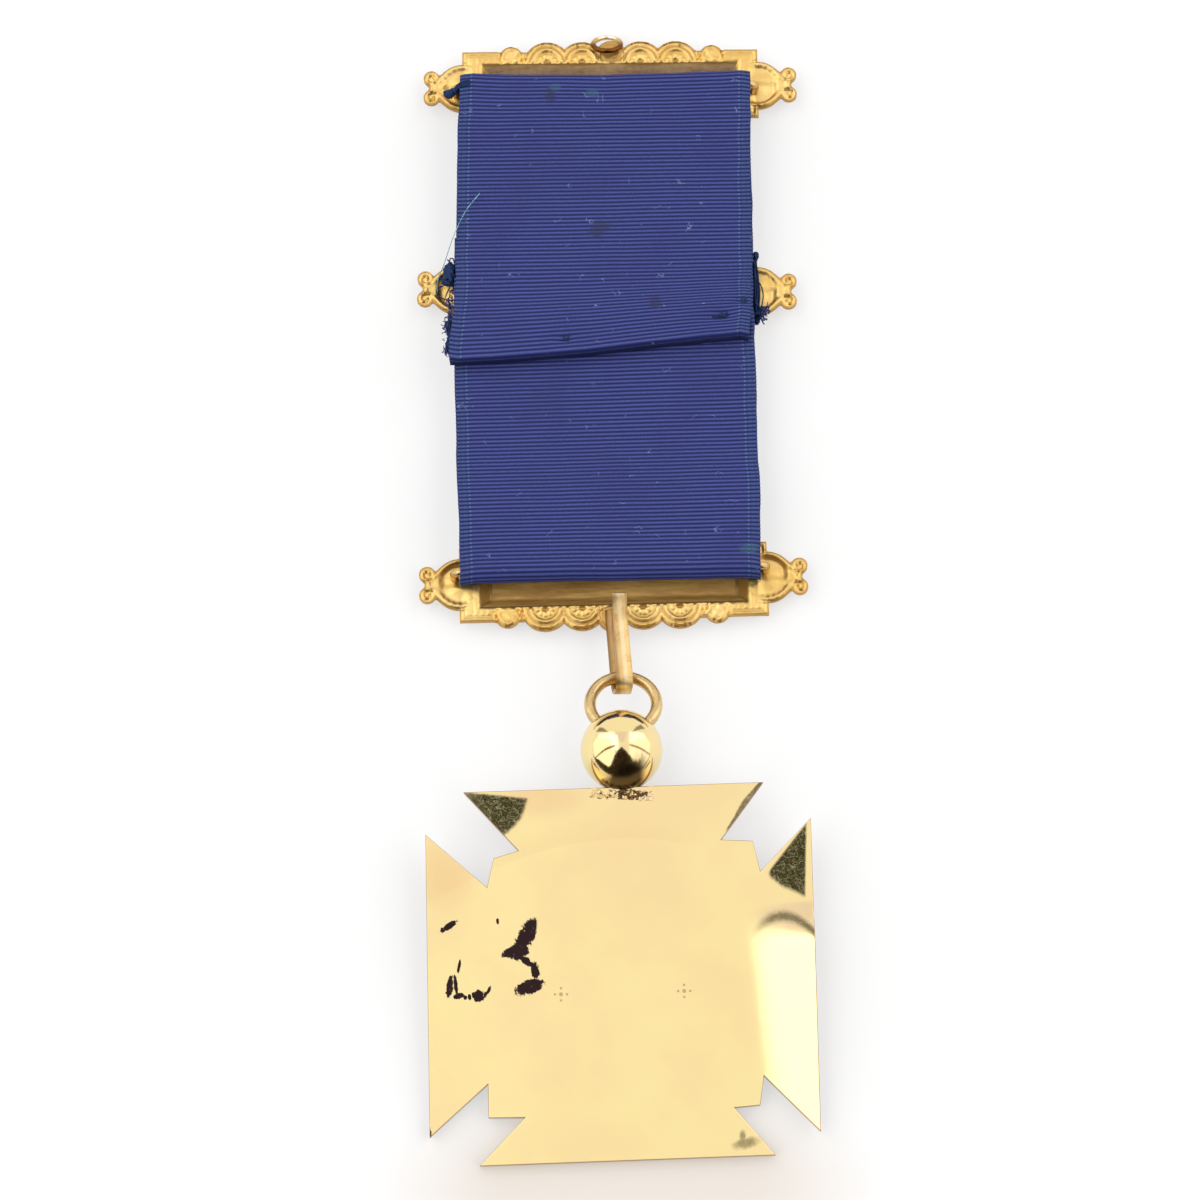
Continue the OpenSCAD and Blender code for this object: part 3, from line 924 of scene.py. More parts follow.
def sweep(bm, section, frames):
    """Extrudes a flat section through a row of frames and closes both ends."""
    ring = [bm.verts.new(frames[0] @ Vector((*p, 0))) for p in section]
    first = list(ring)
    edges = [bm.edges.new((a, b)) for a, b in zip(ring, ring[1:] + ring[:1])]
    for at in frames[1:]:
        made = bmesh.ops.extrude_edge_only(bm, edges=edges)["geom"]
        edges = [g for g in made if isinstance(g, bmesh.types.BMEdge) and g.is_boundary]
        pairs = {}
        for vert in [g for g in made if isinstance(g, bmesh.types.BMVert)]:
            for e in vert.link_edges:
                pairs[e.other_vert(vert)] = vert
        ring = [pairs[v] for v in ring]
        for vert, p in zip(ring, section):
            vert.co = at @ Vector((*p, 0))
    bm.faces.new(list(reversed(first)))
    bm.faces.new(ring)
    bmesh.ops.recalc_face_normals(bm, faces=bm.faces)


def ring_section(radius, count):
    turns = [2 * math.pi * i / count for i in range(count)]
    return [(radius * math.cos(a), radius * math.sin(a)) for a in turns]


def arc_points(centre, radius, start, end, count):
    """Points of an arc in the YZ plane, with angles in degrees from +Y to +Z."""
    turns = [math.radians(start + (end - start) * i / count) for i in range(count + 1)]
    return [(centre[0] + radius * math.cos(a), centre[1] + radius * math.sin(a)) for a in turns]


def smooth_path(points, per_span):
    """A smooth curve through a few points."""
    p = np.array(points, float)
    p = np.vstack([2 * p[0] - p[1], p, 2 * p[-1] - p[-2]])
    made = []
    for a, b, c, d in zip(p, p[1:], p[2:], p[3:]):
        for k in range(per_span):
            t = k / per_span
            bend = (2 * a - 5 * b + 4 * c - d) * t * t
            made.append(tuple(0.5 * (2 * b + (c - a) * t + bend + (3 * b - a - 3 * c + d) * t**3)))
    made.append(tuple(p[-2]))
    return made


def torus(bm, major, minor, steps, sides):
    """A full ring in the XY plane, spun from one circle."""
    made = bmesh.ops.create_circle(bm, segments=sides, radius=minor, cap_ends=False)
    upright = Matrix.Rotation(math.pi / 2, 3, "X")
    bmesh.ops.rotate(bm, verts=made["verts"], cent=(0, 0, 0), matrix=upright)
    bmesh.ops.translate(bm, verts=made["verts"], vec=(major, 0, 0))
    edges = list({e for v in made["verts"] for e in v.link_edges})
    bmesh.ops.spin(
        bm, geom=edges, cent=(0, 0, 0), axis=(0, 0, 1), angle=2 * math.pi, steps=steps, use_merge=True
    )
    bmesh.ops.recalc_face_normals(bm, faces=bm.faces)


def soften(bm, edges, offset):
    """Rounds the edges a little."""
    bmesh.ops.bevel(
        bm,
        geom=edges,
        offset=offset,
        offset_type="OFFSET",
        segments=2,
        profile=0.5,
        affect="EDGES",
        material=-1,
    )


# Ribbon

FOLD_TOP_Y = 67.55
FOLD_LOW_Y = -0.7
FOLD_OUT = 1.65
STRAP_LEVEL = 4.4
HIDDEN_END_Y = 46
CLIMB_FROM_Y = 17.3
CLIMB_RUN = 10
FLAP_LEVEL = 5.0
HEM_TOP = 6.31
HEM_Y = 29
HEM_LOW_Y = 28.3
HEM_GAP = 0.06
RIBBON_WIDTH = 38.6
ROWS_PER_RIB = 4
EDGE_LOOP = 0.07
EDGE_COLUMNS = np.array([0, 0.012, 0.03, 0.045, 0.07])

# X and Y along the folds and the hem

TOP_FOLD = [
    (-19.6, 67.2), (-16.2, 67.5), (-13.5, 67.4), (-10.9, 67.28), (-8.2, 67.18), (-5.6, 67.14),
    (-2.9, 67.1), (-0.3, 67.08), (2.4, 67.16), (5, 67.22), (7.7, 67.27), (10.4, 67.38),
    (13, 67.44), (15.7, 67.58), (18.9, 67.34),
]
LOW_FOLD = [
    (-19.5, -0.76), (-17.3, -0.6), (-15.4, -0.48), (-11.6, -0.38), (-7.8, -0.33), (-3.9, -0.26),
    (0, -0.3), (5.6, -0.21), (9.5, -0.18), (11.4, -0.12), (15.2, -0.13), (17.1, -0.22), (18.8, -0.4),
]
HEM_UPPER = [
    (-20.4, 28.15), (-17, 27.85), (-12, 28.05), (-6.6, 28.5), (-1.5, 29.0), (5, 29.95),
    (11.5, 30.8), (16.7, 31.2), (18, 30.9),
]
HEM_LOWER = [
    (-20.4, 27.8), (-17, 27.75), (-12, 27.95), (-6.6, 28.4), (-1.5, 28.9), (5, 29.8),
    (11.5, 30.6), (16.7, 31.0), (18, 30.7),
]

# X, Y, size and depth of each pucker in the flap

PUCKERS = [(-5.9, 30.3, 1.0, 0.5), (14.6, 33.5, 1.5, 0.6), (17.2, 35.6, 1.2, 0.6), (12.6, 33.0, 1.2, 0.3)]

# Mark, Y of the turn, Y that the next layer reaches, and degrees

HEM_TURNS = [
    ("hem_inner", HEM_Y, 31.5, 180),
    ("hem_lower", 31.5, HEM_LOW_Y, -180),
    ("hem_end", HEM_LOW_Y, 34, 180),
]

# Mark, length beyond it, and X of the ribbon's left and right edges there

STRAP_EDGES = [
    ("start", 0, -20.3, 18.6),
    ("start", 19, -20.4, 18.66),
    ("over_low", 0, -19.8, 18.85),
    ("low_in", 0, -19.55, 18.75),
    ("low_out", 0, -19.6, 18.7),
    ("top_in", 0, -19.6, 18.85),
    ("top_out", 0, -19.6, 18.9),
    ("top_out", 8, -20.0, 18.65),
    ("top_out", 29, -20.2, 18.4),
    ("hem_upper", 0, -21.0, 17.95),
    ("hem_upper", 0.8, -20.95, 17.85),
    ("hem_inner", 0, -20.8, 17.8),
    ("hem_lower", 0, -20.9, 17.85),
    ("hem_end", 0, -20.6, 17.7),
]


def table(rows, x):
    rows = np.array(rows, float)
    return np.interp(x, rows[:, 0], rows[:, 1])


def tilted(y, degrees, x):
    return y + np.tan(np.radians(degrees)) * x


class StrapPath:
    """The ribbon's middle line in the YZ plane, with the length at which each part of it starts."""

    def __init__(self, cloth):
        self.points = []
        self.marks = {}
        r = FOLD_OUT - cloth / 2
        high = RAIL_Z + r
        self.mark("start")
        self.back(STRAP_LEVEL - cloth / 2, high)
        self.turn("low", FOLD_LOW_Y, r, 90)
        for y in np.linspace(FOLD_LOW_Y, FOLD_TOP_Y, 60)[1:]:
            self.add(y, RAIL_Z - r)
        self.turn("top", FOLD_TOP_Y, r, 270)
        self.flap(high, HEM_TOP - cloth / 2, cloth + HEM_GAP)
        self.points = np.array(self.points)
        steps = np.hypot(*np.diff(self.points, axis=0).T)
        self.length_at = np.concatenate([[0], np.cumsum(steps)])
        self.length = float(self.length_at[-1])
        self.marks = {k: float(self.length_at[i]) for k, i in self.marks.items()}

    def back(self, level, high):
        """From the hidden end down the back and up to the bottom rail."""
        for y in np.linspace(HIDDEN_END_Y, CLIMB_FROM_Y, 40):
            self.add(y, level)
        for t in np.linspace(0, 1, 24)[1:]:
            self.add(CLIMB_FROM_Y - CLIMB_RUN * t, level + (high - level) * t * t * (3 - 2 * t))
        self.mark("over_low")
        for y in np.linspace(CLIMB_FROM_Y - CLIMB_RUN, FOLD_LOW_Y, 14)[1:]:
            self.add(y, high)

    def turn(self, name, y, r, start):
        """Half a turn round a rail."""
        self.mark(name + "_in")
        for place in arc_points((y, RAIL_Z), r, start, start + 180, 30)[1:]:
            self.add(*place)
        self.mark(name + "_out")

    def flap(self, high, hem_z, layer):
        """From the top rail down the back again, with the hem rolled under."""
        for y in np.linspace(FOLD_TOP_Y, HEM_Y, 90)[1:]:
            sag = high + (FLAP_LEVEL - high) * smooth_step(64, 52, y)
            self.add(y, sag + (hem_z - sag) * smooth_step(38.5, 32.5, y))
        self.mark("hem_upper")
        for k, (name, y, far, sweep_by) in enumerate(HEM_TURNS):
            low = hem_z - layer * (k + 1)
            for place in arc_points((y, low + layer / 2), layer / 2, 90, 90 + sweep_by, 8)[1:]:
                self.add(*place)
            for py in np.linspace(y, far, 14)[1:]:
                self.add(py, low)
            self.mark(name)

    def add(self, y, z):
        self.points.append((y, z))

    def mark(self, name):
        self.marks[name] = max(len(self.points) - 1, 0)

    def at(self, s):
        return [np.interp(s, self.length_at, self.points[:, i]) for i in range(2)]

    def facing(self, s):
        """The way that the cloth's outer side faces."""
        y_next, z_next = self.at(np.minimum(s + 0.05, self.length))
        y_last, z_last = self.at(np.maximum(s - 0.05, 0))
        run = np.stack([y_next - y_last, z_next - z_last], 1)
        run /= np.linalg.norm(run, axis=1)[:, None]
        return np.stack([run[:, 1], -run[:, 0]], 1)


def strap_edges(path, s):
    """X of the ribbon's left and right edges."""
    keys = [path.marks[name] + beyond for name, beyond, _, _ in STRAP_EDGES]
    left = np.interp(s, keys, [row[2] for row in STRAP_EDGES])
    right = np.interp(s, keys, [row[3] for row in STRAP_EDGES])
    return left + 0.09 * value_noise(s / 3.1, 0 * s, 5), right + 0.09 * value_noise(s / 2.7, 0 * s, 8)


def strap_slip(path, s, columns):
    """How far each column is shifted along Y, for the slant of the folds and the hem."""
    x = np.linspace(-19.6, 18.8, columns)
    low = table(LOW_FOLD, x) - FOLD_LOW_Y
    top = table(TOP_FOLD, x) - FOLD_TOP_Y
    upper = table(HEM_UPPER, x) - HEM_Y
    lower = table(HEM_LOWER, x) - HEM_LOW_Y
    slants = [
        ("start", 0, tilted(0, 1.6, x)),
        ("start", 19, tilted(0, 1.6, x)),
        ("over_low", 0, tilted(0.1, 1.1, x)),
        ("low_in", 0, low),
        ("low_out", 0, low),
        ("low_out", 6, tilted(0, 0.7, x)),
        ("top_in", -6, tilted(0, 0.4, x)),
        ("top_in", 0, top),
        ("top_out", 0, top),
        ("top_out", 7, tilted(-0.1, 0.35, x)),
        ("top_out", 27, tilted(0, 0.7, x)),
        ("hem_upper", -2.5, upper * 0.8),
        ("hem_upper", 0, upper),
        ("hem_inner", 0, upper),
        ("hem_lower", 0, lower),
        ("hem_end", 0, lower),
    ]
    places = [path.marks[name] + beyond for name, beyond, _ in slants]
    shifts = np.array([shift for _, _, shift in slants])
    return np.stack([np.interp(s, places, shifts[:, j]) for j in range(columns)], 1)


def strap_waves(path, s, x, y):
    """How far the worn ribbon stands off its path, with the puckers of its flap."""
    m = path.marks
    along = s[:, None]
    wave = 0.1 * value_noise(x / 7.0, along / 9.0, 2) + 0.05 * value_noise(x / 2.4, along / 3.1, 4)
    free = smooth_step(0, 4, np.abs(along - m["low_in"])) * smooth_step(0, 4, np.abs(along - m["top_in"]))
    wave = wave * free * smooth_step(m["hem_upper"] + 0.5, m["hem_upper"] - 4, along)
    on_flap = (along > m["top_out"]) & (along <= m["hem_upper"])
    for px, py, size, deep in PUCKERS:
        wave = wave - deep * hill(np.hypot(x - px, (y - py) * 1.6), size) * on_flap
    return wave


def strap_grid(path, sizes):
    """Places of the ribbon's rows and columns, the ribs' height and the number of ribs."""
    ribs = int(round(path.length / (sizes.rib_pitch / MM)))
    rows = ribs * ROWS_PER_RIB + 1
    s = np.linspace(0, path.length, rows)
    across = np.concatenate([EDGE_COLUMNS, np.linspace(0.1, 0.9, 21), 1 - EDGE_COLUMNS[::-1]])
    y, z = path.at(s)
    left, right = strap_edges(path, s)
    x = left[:, None] + (right - left)[:, None] * across[None, :]
    phase = (np.arange(rows) % ROWS_PER_RIB) / ROWS_PER_RIB
    rib = np.sin(phase * math.pi) ** 0.7
    rib = rib - rib.mean()
    x[:, 0] -= EDGE_LOOP * rib
    x[:, -1] += EDGE_LOOP * rib
    y = y[:, None] + strap_slip(path, s, len(across))
    z = z[:, None] + strap_waves(path, s, x, y)
    return x, y, z, sizes.rib_height / MM * rib, across, s, ribs


def ribbon_solid(path, sizes):
    """The ribbon as a grid that is folded along its path and given its thickness."""
    x, y, z, bulge, across, s, ribs = strap_grid(path, sizes)
    facing = path.facing(s)
    rows, columns = x.shape
    bm = bmesh.new()
    bmesh.ops.create_grid(bm, x_segments=columns - 1, y_segments=rows - 1, size=0.5)
    co = verts_array(bm)
    column = np.rint((co[:, 0] + 0.5) * (columns - 1)).astype(int)
    row = np.rint((co[:, 1] + 0.5) * (rows - 1)).astype(int)
    uv = bm.loops.layers.uv.new("weave")
    number = numbered(bm)
    for face in bm.faces:
        for loop in face.loops:
            i = loop.vert[number]
            loop[uv].uv = (across[column[i]], s[row[i]] / path.length)

    def layer(sign):
        reach = (sizes.cloth / MM / 2 + bulge[row]) * sign
        along_y, along_z = y[row, column] + facing[row, 0] * reach, z[row, column] + facing[row, 1] * reach
        return np.stack([x[row, column], along_y, along_z], 1)

    inner = layer(-1)
    place_verts(bm, layer(1))
    made = bmesh.ops.extrude_face_region(bm, geom=list(bm.faces), use_keep_orig=True)
    for vert in [g for g in made["geom"] if isinstance(g, bmesh.types.BMVert)]:
        vert.co = inner[vert[number]]
    bm.verts.layers.int.remove(bm.verts.layers.int["number"])
    bmesh.ops.recalc_face_normals(bm, faces=bm.faces)
    return bm, ribs


# Cross. Each row of corners runs round one of its four angles, from arm to arm

CROSS_AT = (0.36, -53.18)
CROSS_TURN = math.radians(1.1)
CROSS_TILT = math.radians(5)
CROSS_THICK = 1.3
CROSS_CORNERS = [
    [(18.47, 23.83), (12.94, 16.71), (16.87, 16.45), (17.68, 12.58), (24.24, 19.16)],
    [(18.21, -22.51), (13.37, -16.59), (16.56, -16.38), (17.15, -12.78), (23.81, -19.86)],
    [(-18.02, -22.78), (-12.34, -17.05), (-16.81, -16.96), (-16.78, -12.82), (-24.06, -19.12)],
    [(-19.01, 23.65), (-12.32, 16.08), (-15.44, 15.20), (-16.35, 11.55), (-23.87, 18.44)],
]
BALL_AT = (0.71, -24.82, 5.15)
BALL_R = 5.15
RING_AT = (1.01, -18.8, 5.2)
RING = (4.2, 0.74)
RING_DIP = 19


def cross_drop():
    x, y = CROSS_CORNERS[2][0]
    return (x * math.sin(CROSS_TURN) + y * math.cos(CROSS_TURN)) * math.sin(CROSS_TILT)


def cross_bend(x, y):
    """How far the worn plate stands off flat, in millimetres, over the jewel's X and Y."""
    edge = 15.1 + 0.1 * (-48.6 - y)
    run = np.maximum(x - edge, 0)
    curl = 0.165 * (run - 1.6 * (1 - np.exp(-run / 1.6)))
    return curl * smooth_step(-44.2, -49.5, y) + 0.05 * value_noise(x / 9, y / 9, 3)


def cross_blank():
    """The flat plate with its softened rim, marked where it isn't its top face."""
    bm = bmesh.new()
    outline = []
    for i, row in enumerate(CROSS_CORNERS):
        outline += row if i % 2 == 0 else row[::-1]
    face = bm.faces.new([bm.verts.new((px, py, 0)) for px, py in outline])
    if face.normal.z > 0:
        face.normal_flip()
    made = bmesh.ops.extrude_face_region(bm, geom=[face], use_keep_orig=True)
    top = [g for g in made["geom"] if isinstance(g, bmesh.types.BMVert)]
    bmesh.ops.translate(bm, verts=top, vec=(0, 0, CROSS_THICK))
    bmesh.ops.recalc_face_normals(bm, faces=bm.faces)
    soften(bm, [e for e in bm.edges if abs(e.verts[0].co.z - e.verts[1].co.z) < 1e-6], 0.1)
    rim = bm.verts.layers.float.new("rim")
    for vert in bm.verts:
        vert[rim] = float(vert.co.z < CROSS_THICK - 1e-4)
    return bm


def cross_solid(cell):
    """The plate, cut into cells, bent, and tilted up from its lower edge to meet the ball."""
    bm = cross_blank()
    for axis in (0, 1):
        for at in np.arange(-24, 24.1, cell):
            where, way = Vector((0, 0, 0)), Vector((0, 0, 0))
            where[axis], way[axis] = at, 1
            geom = list(bm.verts) + list(bm.edges) + list(bm.faces)
            bmesh.ops.bisect_plane(bm, geom=geom, plane_co=where, plane_no=way, dist=1e-5)
    bmesh.ops.rotate(bm, verts=bm.verts, cent=(0, 0, 0), matrix=Matrix.Rotation(CROSS_TURN, 3, "Z"))
    co = verts_array(bm)
    co[:, 2] += cross_bend(co[:, 0] + CROSS_AT[0], co[:, 1] + CROSS_AT[1])
    place_verts(bm, co)
    bmesh.ops.rotate(bm, verts=bm.verts, cent=(0, 0, 0), matrix=Matrix.Rotation(CROSS_TILT, 3, "X"))
    bmesh.ops.translate(bm, verts=bm.verts, vec=(*CROSS_AT, -cross_drop()))
    for vert in bm.verts:
        vert.co.z = max(vert.co.z, 0.0)
    return bm


# Studio. Outlines of its cards are in degrees from straight over the ball, distances in metres

WHITE = (1, 1, 1)
BROWN = (1, 0.62, 0.38)
ROSY = (0.92, 0.85, 1)
FLOOR_SHADOW_TINT = (0.765, 0.655, 0.54)
SKY_TONE = (1.0, 0.985, 0.965, 1)
SOFTBOX_FAR = 0.95
STEPS_PER_SIDE = 12
OUTLINES = {
    "dark_wedge": [
        (0, -6), (-9, -14), (-21, -29), (-28, -45), (-36, -58), (-40, -58), (-40, -80), (-40, -97),
        (0, -97), (50, -90), (66, -70), (66, -58), (52, -57), (36, -45), (24, -29), (9, -14),
    ],
    "dark_left": [(-40, -62), (-58, -48), (-72, -33), (-86, -26), (-96, -34), (-76, -66), (-40, -92)],
    "dark_rim": [(-84, -30), (-90, -10), (-90, 10), (-98, 10), (-98, -12), (-94, -36)],
    "bar_left": [(-17, 1), (-44, -5), (-84, -24), (-92, -32), (-48, -13), (-18, -5)],
    "bar_right": [(22, 3), (50, -2), (92, -14), (94, -19), (50, -8), (22, -2)],
    "flag_left": [(-34, 38), (-90, 62), (-84, 80), (-50, 60)],
    "flag_right": [(29, 38), (74, 66), (64, 82), (40, 58)],
    "rosy_ceiling": [(-6, 8), (-9, 17), (-13, 28), (-18, 38), (18, 38), (14, 28), (10, 17), (7, 8)],
    "glow_left": [(-13, 8), (-56, 6), (-64, 40), (-20, 36)],
    "glow_right": [(21, 8), (62, 4), (66, 40), (24, 36)],
    "bright_strip": [(-12.4, -14), (-12.4, 30), (-26, 30), (-26, -14)],
    "bright_strip_edge": [(-9.5, -14), (-9.5, 30), (-12.4, 30), (-12.4, -14)],
    "bright_strip_fade": [(-6.8, -14), (-6.8, 30), (-9.5, 30), (-9.5, -14)],
    "window_left": [(-20, -60), (-20, 40), (-60, 44), (-84, 20), (-84, -40), (-60, -60)],
    "window_right": [(21, -60), (21, 40), (60, 44), (86, 20), (86, -30), (60, -60)],
}


def card_plan(studio):
    """Name, brightness, distance and tint of each card."""
    return [
        ("dark_wedge", studio.shade, 1.5, BROWN),
        ("dark_left", studio.shade, 1.5, BROWN),
        ("dark_rim", studio.shade, 1.5, BROWN),
        ("bar_left", 0.2, 1.5, BROWN),
        ("bar_right", 0.28, 1.5, BROWN),
        ("flag_left", 0.28, 1.5, WHITE),
        ("flag_right", 0.3, 1.5, WHITE),
        ("rosy_ceiling", 0.95, 1.6, ROSY),
        ("glow_left", 2.0, 3.2, WHITE),
        ("glow_right", 2.0, 3.2, WHITE),
        ("bright_strip", studio.softbox, 3, WHITE),
        ("bright_strip_edge", studio.softbox * 0.72, 3, WHITE),
        ("bright_strip_fade", studio.softbox * 0.57, 3, WHITE),
        ("window_left", 1.35, 3.5, WHITE),
        ("window_right", 1.35, 3.5, WHITE),
    ]


def way_out(ax, ay):
    """The way to a place in the studio, from two angles off straight up, in degrees."""
    away = math.hypot(ax, ay)
    polar = math.radians(away)
    flat = math.sin(polar) / max(away, 1e-6)
    return Vector((ax * flat, ay * flat, math.cos(polar)))


class JEWEL_OT_stage(bpy.types.Operator):
    """Lay the floor and set the camera, the softboxes and the dark side of the studio"""

    bl_idname = "jewel.stage"
    bl_label = "Studio"

    def execute(self, context):
        self.camera(context)
        self.floor(context)
        self.lights(context)
        return {"FINISHED"}

    def camera(self, context):
        data = bpy.data.cameras.new("camera")
        data.lens, data.sensor_width = 116.73, 36
        data.clip_start, data.clip_end = 0.01, 20
        view = bpy.data.objects.new("camera", data)
        turn = Matrix.Rotation(math.radians(18), 4, "X") @ Matrix.Rotation(math.radians(-0.6), 4, "Z")
        view.matrix_world = Matrix.Translation((-0.00179, -0.157645, 0.47501)) @ turn
        context.scene.collection.objects.link(view)
        context.scene.camera = view

    def floor(self, context):
        paint = Paint("pale_floor")
        at = paint.place()
        x, y, _ = paint.axes(at)
        tone = context.scene.jewel_colours.floor
        mottle = paint.noise(at, 0.02, 2.0)
        # A painted warm shadow on the floor below the cross
        warm_shadow = paint.blob(x, y, (1, -79), (35, 15)).rise(1.0, 0.4)
        paint.set(base_color=paint.mix(mottle, tone, [c * 0.995 for c in tone]), roughness=0.9)
        paint.set(emission_color=paint.mix(warm_shadow, WHITE, FLOOR_SHADOW_TINT), emission_strength=0.58)
        paint.set(specular_ior_level=0.0)
        bm = bmesh.new()
        bmesh.ops.create_grid(bm, x_segments=8, y_segments=8, size=6)
        bmesh.ops.translate(bm, verts=bm.verts, vec=(0, 0, -0.00004))
        self.prop(context, "floor", bm, paint.material)

    def prop(self, context, name, bm, material):
        mesh = bpy.data.meshes.new(name)
        bm.to_mesh(mesh)
        bm.free()
        obj = bpy.data.objects.new(name, mesh)
        mesh.materials.append(material)
        context.scene.collection.objects.link(obj)
        return obj

    def glow(self, name, bright, tint, blocks, clear):
        """Streaked light of a card, with more contrast on the one that blocks."""
        paint = Paint(name)
        streaks = paint.streaks(paint.place(), (0.02, 0.006, 0.006), detail=3.0, roughness=0.5)
        streaks = streaks.rise(0.38, 0.66)
        shades = [[c * share for c in tint] for share in ((0.3, 1.6) if blocks else (1, 1))]
        inputs = {"Color": paint.mix(streaks, *shades), "Strength": bright}
        light = paint.node("ShaderNodeEmission", inputs=inputs)
        if clear:
            through = paint.node("ShaderNodeBsdfTransparent")
            light = paint.node("ShaderNodeAddShader", inputs={0: light, 1: through})
        paint.plug(paint.tree.nodes["Material Output"].inputs["Surface"], light)
        return paint.material

    def card(self, context, name, outline, bright, reach, tint=WHITE, blocks=False, clear=False):
        """A card that only reflections see, or soft light and shadows too if it blocks.
        A brown card gets a clear one in front, a see-through glow that lights the cross plate alone."""
        bm = bmesh.new()
        ring = []
        for a, b in zip(outline, outline[1:] + outline[:1]):
            for k in range(STEPS_PER_SIDE):
                ax, ay = [p + (q - p) * (k / STEPS_PER_SIDE) for p, q in zip(a, b)]
                ring.append(bm.verts.new(Vector(BALL_AT) * MM + way_out(ax, ay) * reach))
        bm.faces.new(ring)
        bmesh.ops.triangulate(bm, faces=bm.faces)
        obj = self.prop(context, name, bm, self.glow(name, bright, tint, blocks, clear))
        obj.visible_camera = False
        obj.visible_diffuse = obj.visible_shadow = blocks
        if clear:
            obj.light_linking.receiver_collection = bpy.data.collections["plate_light"]
        elif tint == BROWN:
            self.card(context, name + "_fill", outline, 1 - bright, reach * 0.97, clear=True)

    def softbox(self, context, name, ax, wide, tall, bright):
        data = bpy.data.lights.new(name, "AREA")
        data.shape = "RECTANGLE"
        data.size, data.size_y = tall, wide
        data.energy = bright * math.pi * wide * tall
        lamp = bpy.data.objects.new(name, data)
        way = way_out(ax, 0)
        lamp.location = way * SOFTBOX_FAR
        lamp.rotation_euler = way.to_track_quat("Z", "Y").to_euler()
        lamp.visible_glossy = False
        context.scene.collection.objects.link(lamp)

    def lights(self, context):
        studio = context.scene.jewel_studio
        world = bpy.data.worlds.new("studio")
        world.use_nodes = True
        sky = world.node_tree.nodes["Background"]
        sky.inputs["Color"].default_value = SKY_TONE
        sky.inputs["Strength"].default_value = studio.sky
        context.scene.world = world
        context.scene.view_settings.view_transform = "Standard"
        self.softbox(context, "softbox_left", -47, 1.3, 2.2, studio.softbox)
        self.softbox(context, "softbox_right", 57, 1.25, 2.2, studio.softbox)
        bpy.data.collections.new("plate_light")
        for name, bright, reach, tint in card_plan(studio):
            self.card(context, name, OUTLINES[name], bright, reach, tint, blocks=name == "dark_wedge")
        bm = bmesh.new()
        bmesh.ops.create_grid(bm, x_segments=1, y_segments=1, size=0.7)
        bmesh.ops.translate(bm, verts=bm.verts, vec=(0, -0.79, 0.0001))
        apron = self.prop(context, "dark_apron", bm, bpy.data.materials["dark_wedge"])
        apron.visible_camera = apron.visible_diffuse = apron.visible_shadow = False


# Sizes of the rails, hook, solder and threads

RAIL_SHIFTS = {"top_bar": -0.65, "bottom_bar": 0.42}
RAIL_BEND = 0.75
RAIL_Y = -1.1
POST_FOOT_Z = 1.3
EYELET = (1.83, 0.36)
EYELET_LEAN = -35
EYELET_AT = (-0.35, PLATE[1] / 2 + 1.04, BAR_DEPTH - 0.2)
HOOK_THICK = 0.85
HOOK_HALF = 1.05
HOOK_BEND = 1.95
HOOK_LEG = 9.7
HOOK_FREE = 6.2
HOOK_AT = (-0.35, -5.7, 2.05)
HOOK_TURN = 3.9
HOOK_ROLL = 11
TIP_R = 9
TIP_ANGLE = math.radians(28)
BURNT = (0.02, 0.011, 0.005)
BURNT_LIGHT = (0.13, 0.07, 0.025)
DARK_THREAD_LIGHT = (0.013, 0.03, 0.085)
PALE_THREAD_LIGHT = (0.2, 0.36, 0.38)
FRAYED = (0.012, 0.018, 0.07)
FRAYED_LIGHT = (0.04, 0.055, 0.16)
PALE_THREAD = [
    (-17.0, 51.2, 5.7), (-18.9, 48.4, 6.1), (-20.5, 45.1, 5.4), (-21.7, 41.8, 4.4), (-22.6, 39.8, 3.4),
    (-22.7, 38.2, 2.9),
]
LEFT_STITCH = [
    (-20.2, 39.6, 3.4), (-21.7, 39.2, 3.2), (-22.75, 38.7, 3.0), (-22.55, 37.9, 2.9), (-21.6, 37.3, 3.0),
    (-20.3, 37.0, 3.3),
]
RIGHT_STITCH = [
    (18.9, 39.4, 3.9), (19.6, 38.6, 3.9), (19.95, 37.2, 3.7), (19.7, 35.6, 3.4), (19.2, 34.8, 3.2),
]
FLAP_STITCHES = [(-5.9, 30.3, 6.0), (14.6, 33.5, 5.8), (17.2, 35.6, 5.7)]

# Middle, half sizes and number of strands of each tuft

STITCH_TUFTS = [((-20.7, 40.6, 3.4), (1.1, 1.7, 0.8), 70), ((19.5, 34.9, 3.2), (0.9, 0.9, 0.7), 45)]
FRAY_TUFTS = [
    ((-20.9, 34.0, 4.6), (0.5, 0.9, 0.5), 40),
    ((-21.15, 32.6, 4.5), (0.65, 1.0, 0.5), 70),
    ((-20.9, 31.2, 4.6), (0.45, 1.0, 0.5), 45),
    ((-21.05, 29.6, 4.7), (0.6, 0.9, 0.5), 65),
    ((-20.9, 36.6, 4.0), (0.5, 1.2, 0.6), 25),
    ((19.9, 34.7, 3.5), (0.7, 0.6, 0.5), 40),
]

# Middle and half sizes of each matted lump

WADS = [
    ((-20.95, 40.6, 3.9), (0.8, 1.45, 0.9)),
    ((-21.05, 33.0, 4.4), (0.5, 0.75, 0.45)),
    ((-20.9, 32.0, 4.4), (0.45, 0.7, 0.45)),
    ((-20.95, 30.2, 4.5), (0.5, 0.95, 0.45)),
    ((19.45, 34.95, 3.1), (0.75, 0.7, 0.5)),
    ((-21.1, 66.2, 4.3), (0.72, 0.62, 0.55)),
    ((-20.3, 66.5, 4.6), (0.6, 0.45, 0.45)),
    ((-21.2, 39.4, 3.7), (0.85, 0.5, 0.5)),
    ((19.15, 43.25, 2.35), (0.42, 0.62, 0.4)),
    ((19.1, 34.05, 2.4), (0.42, 0.5, 0.42)),
]


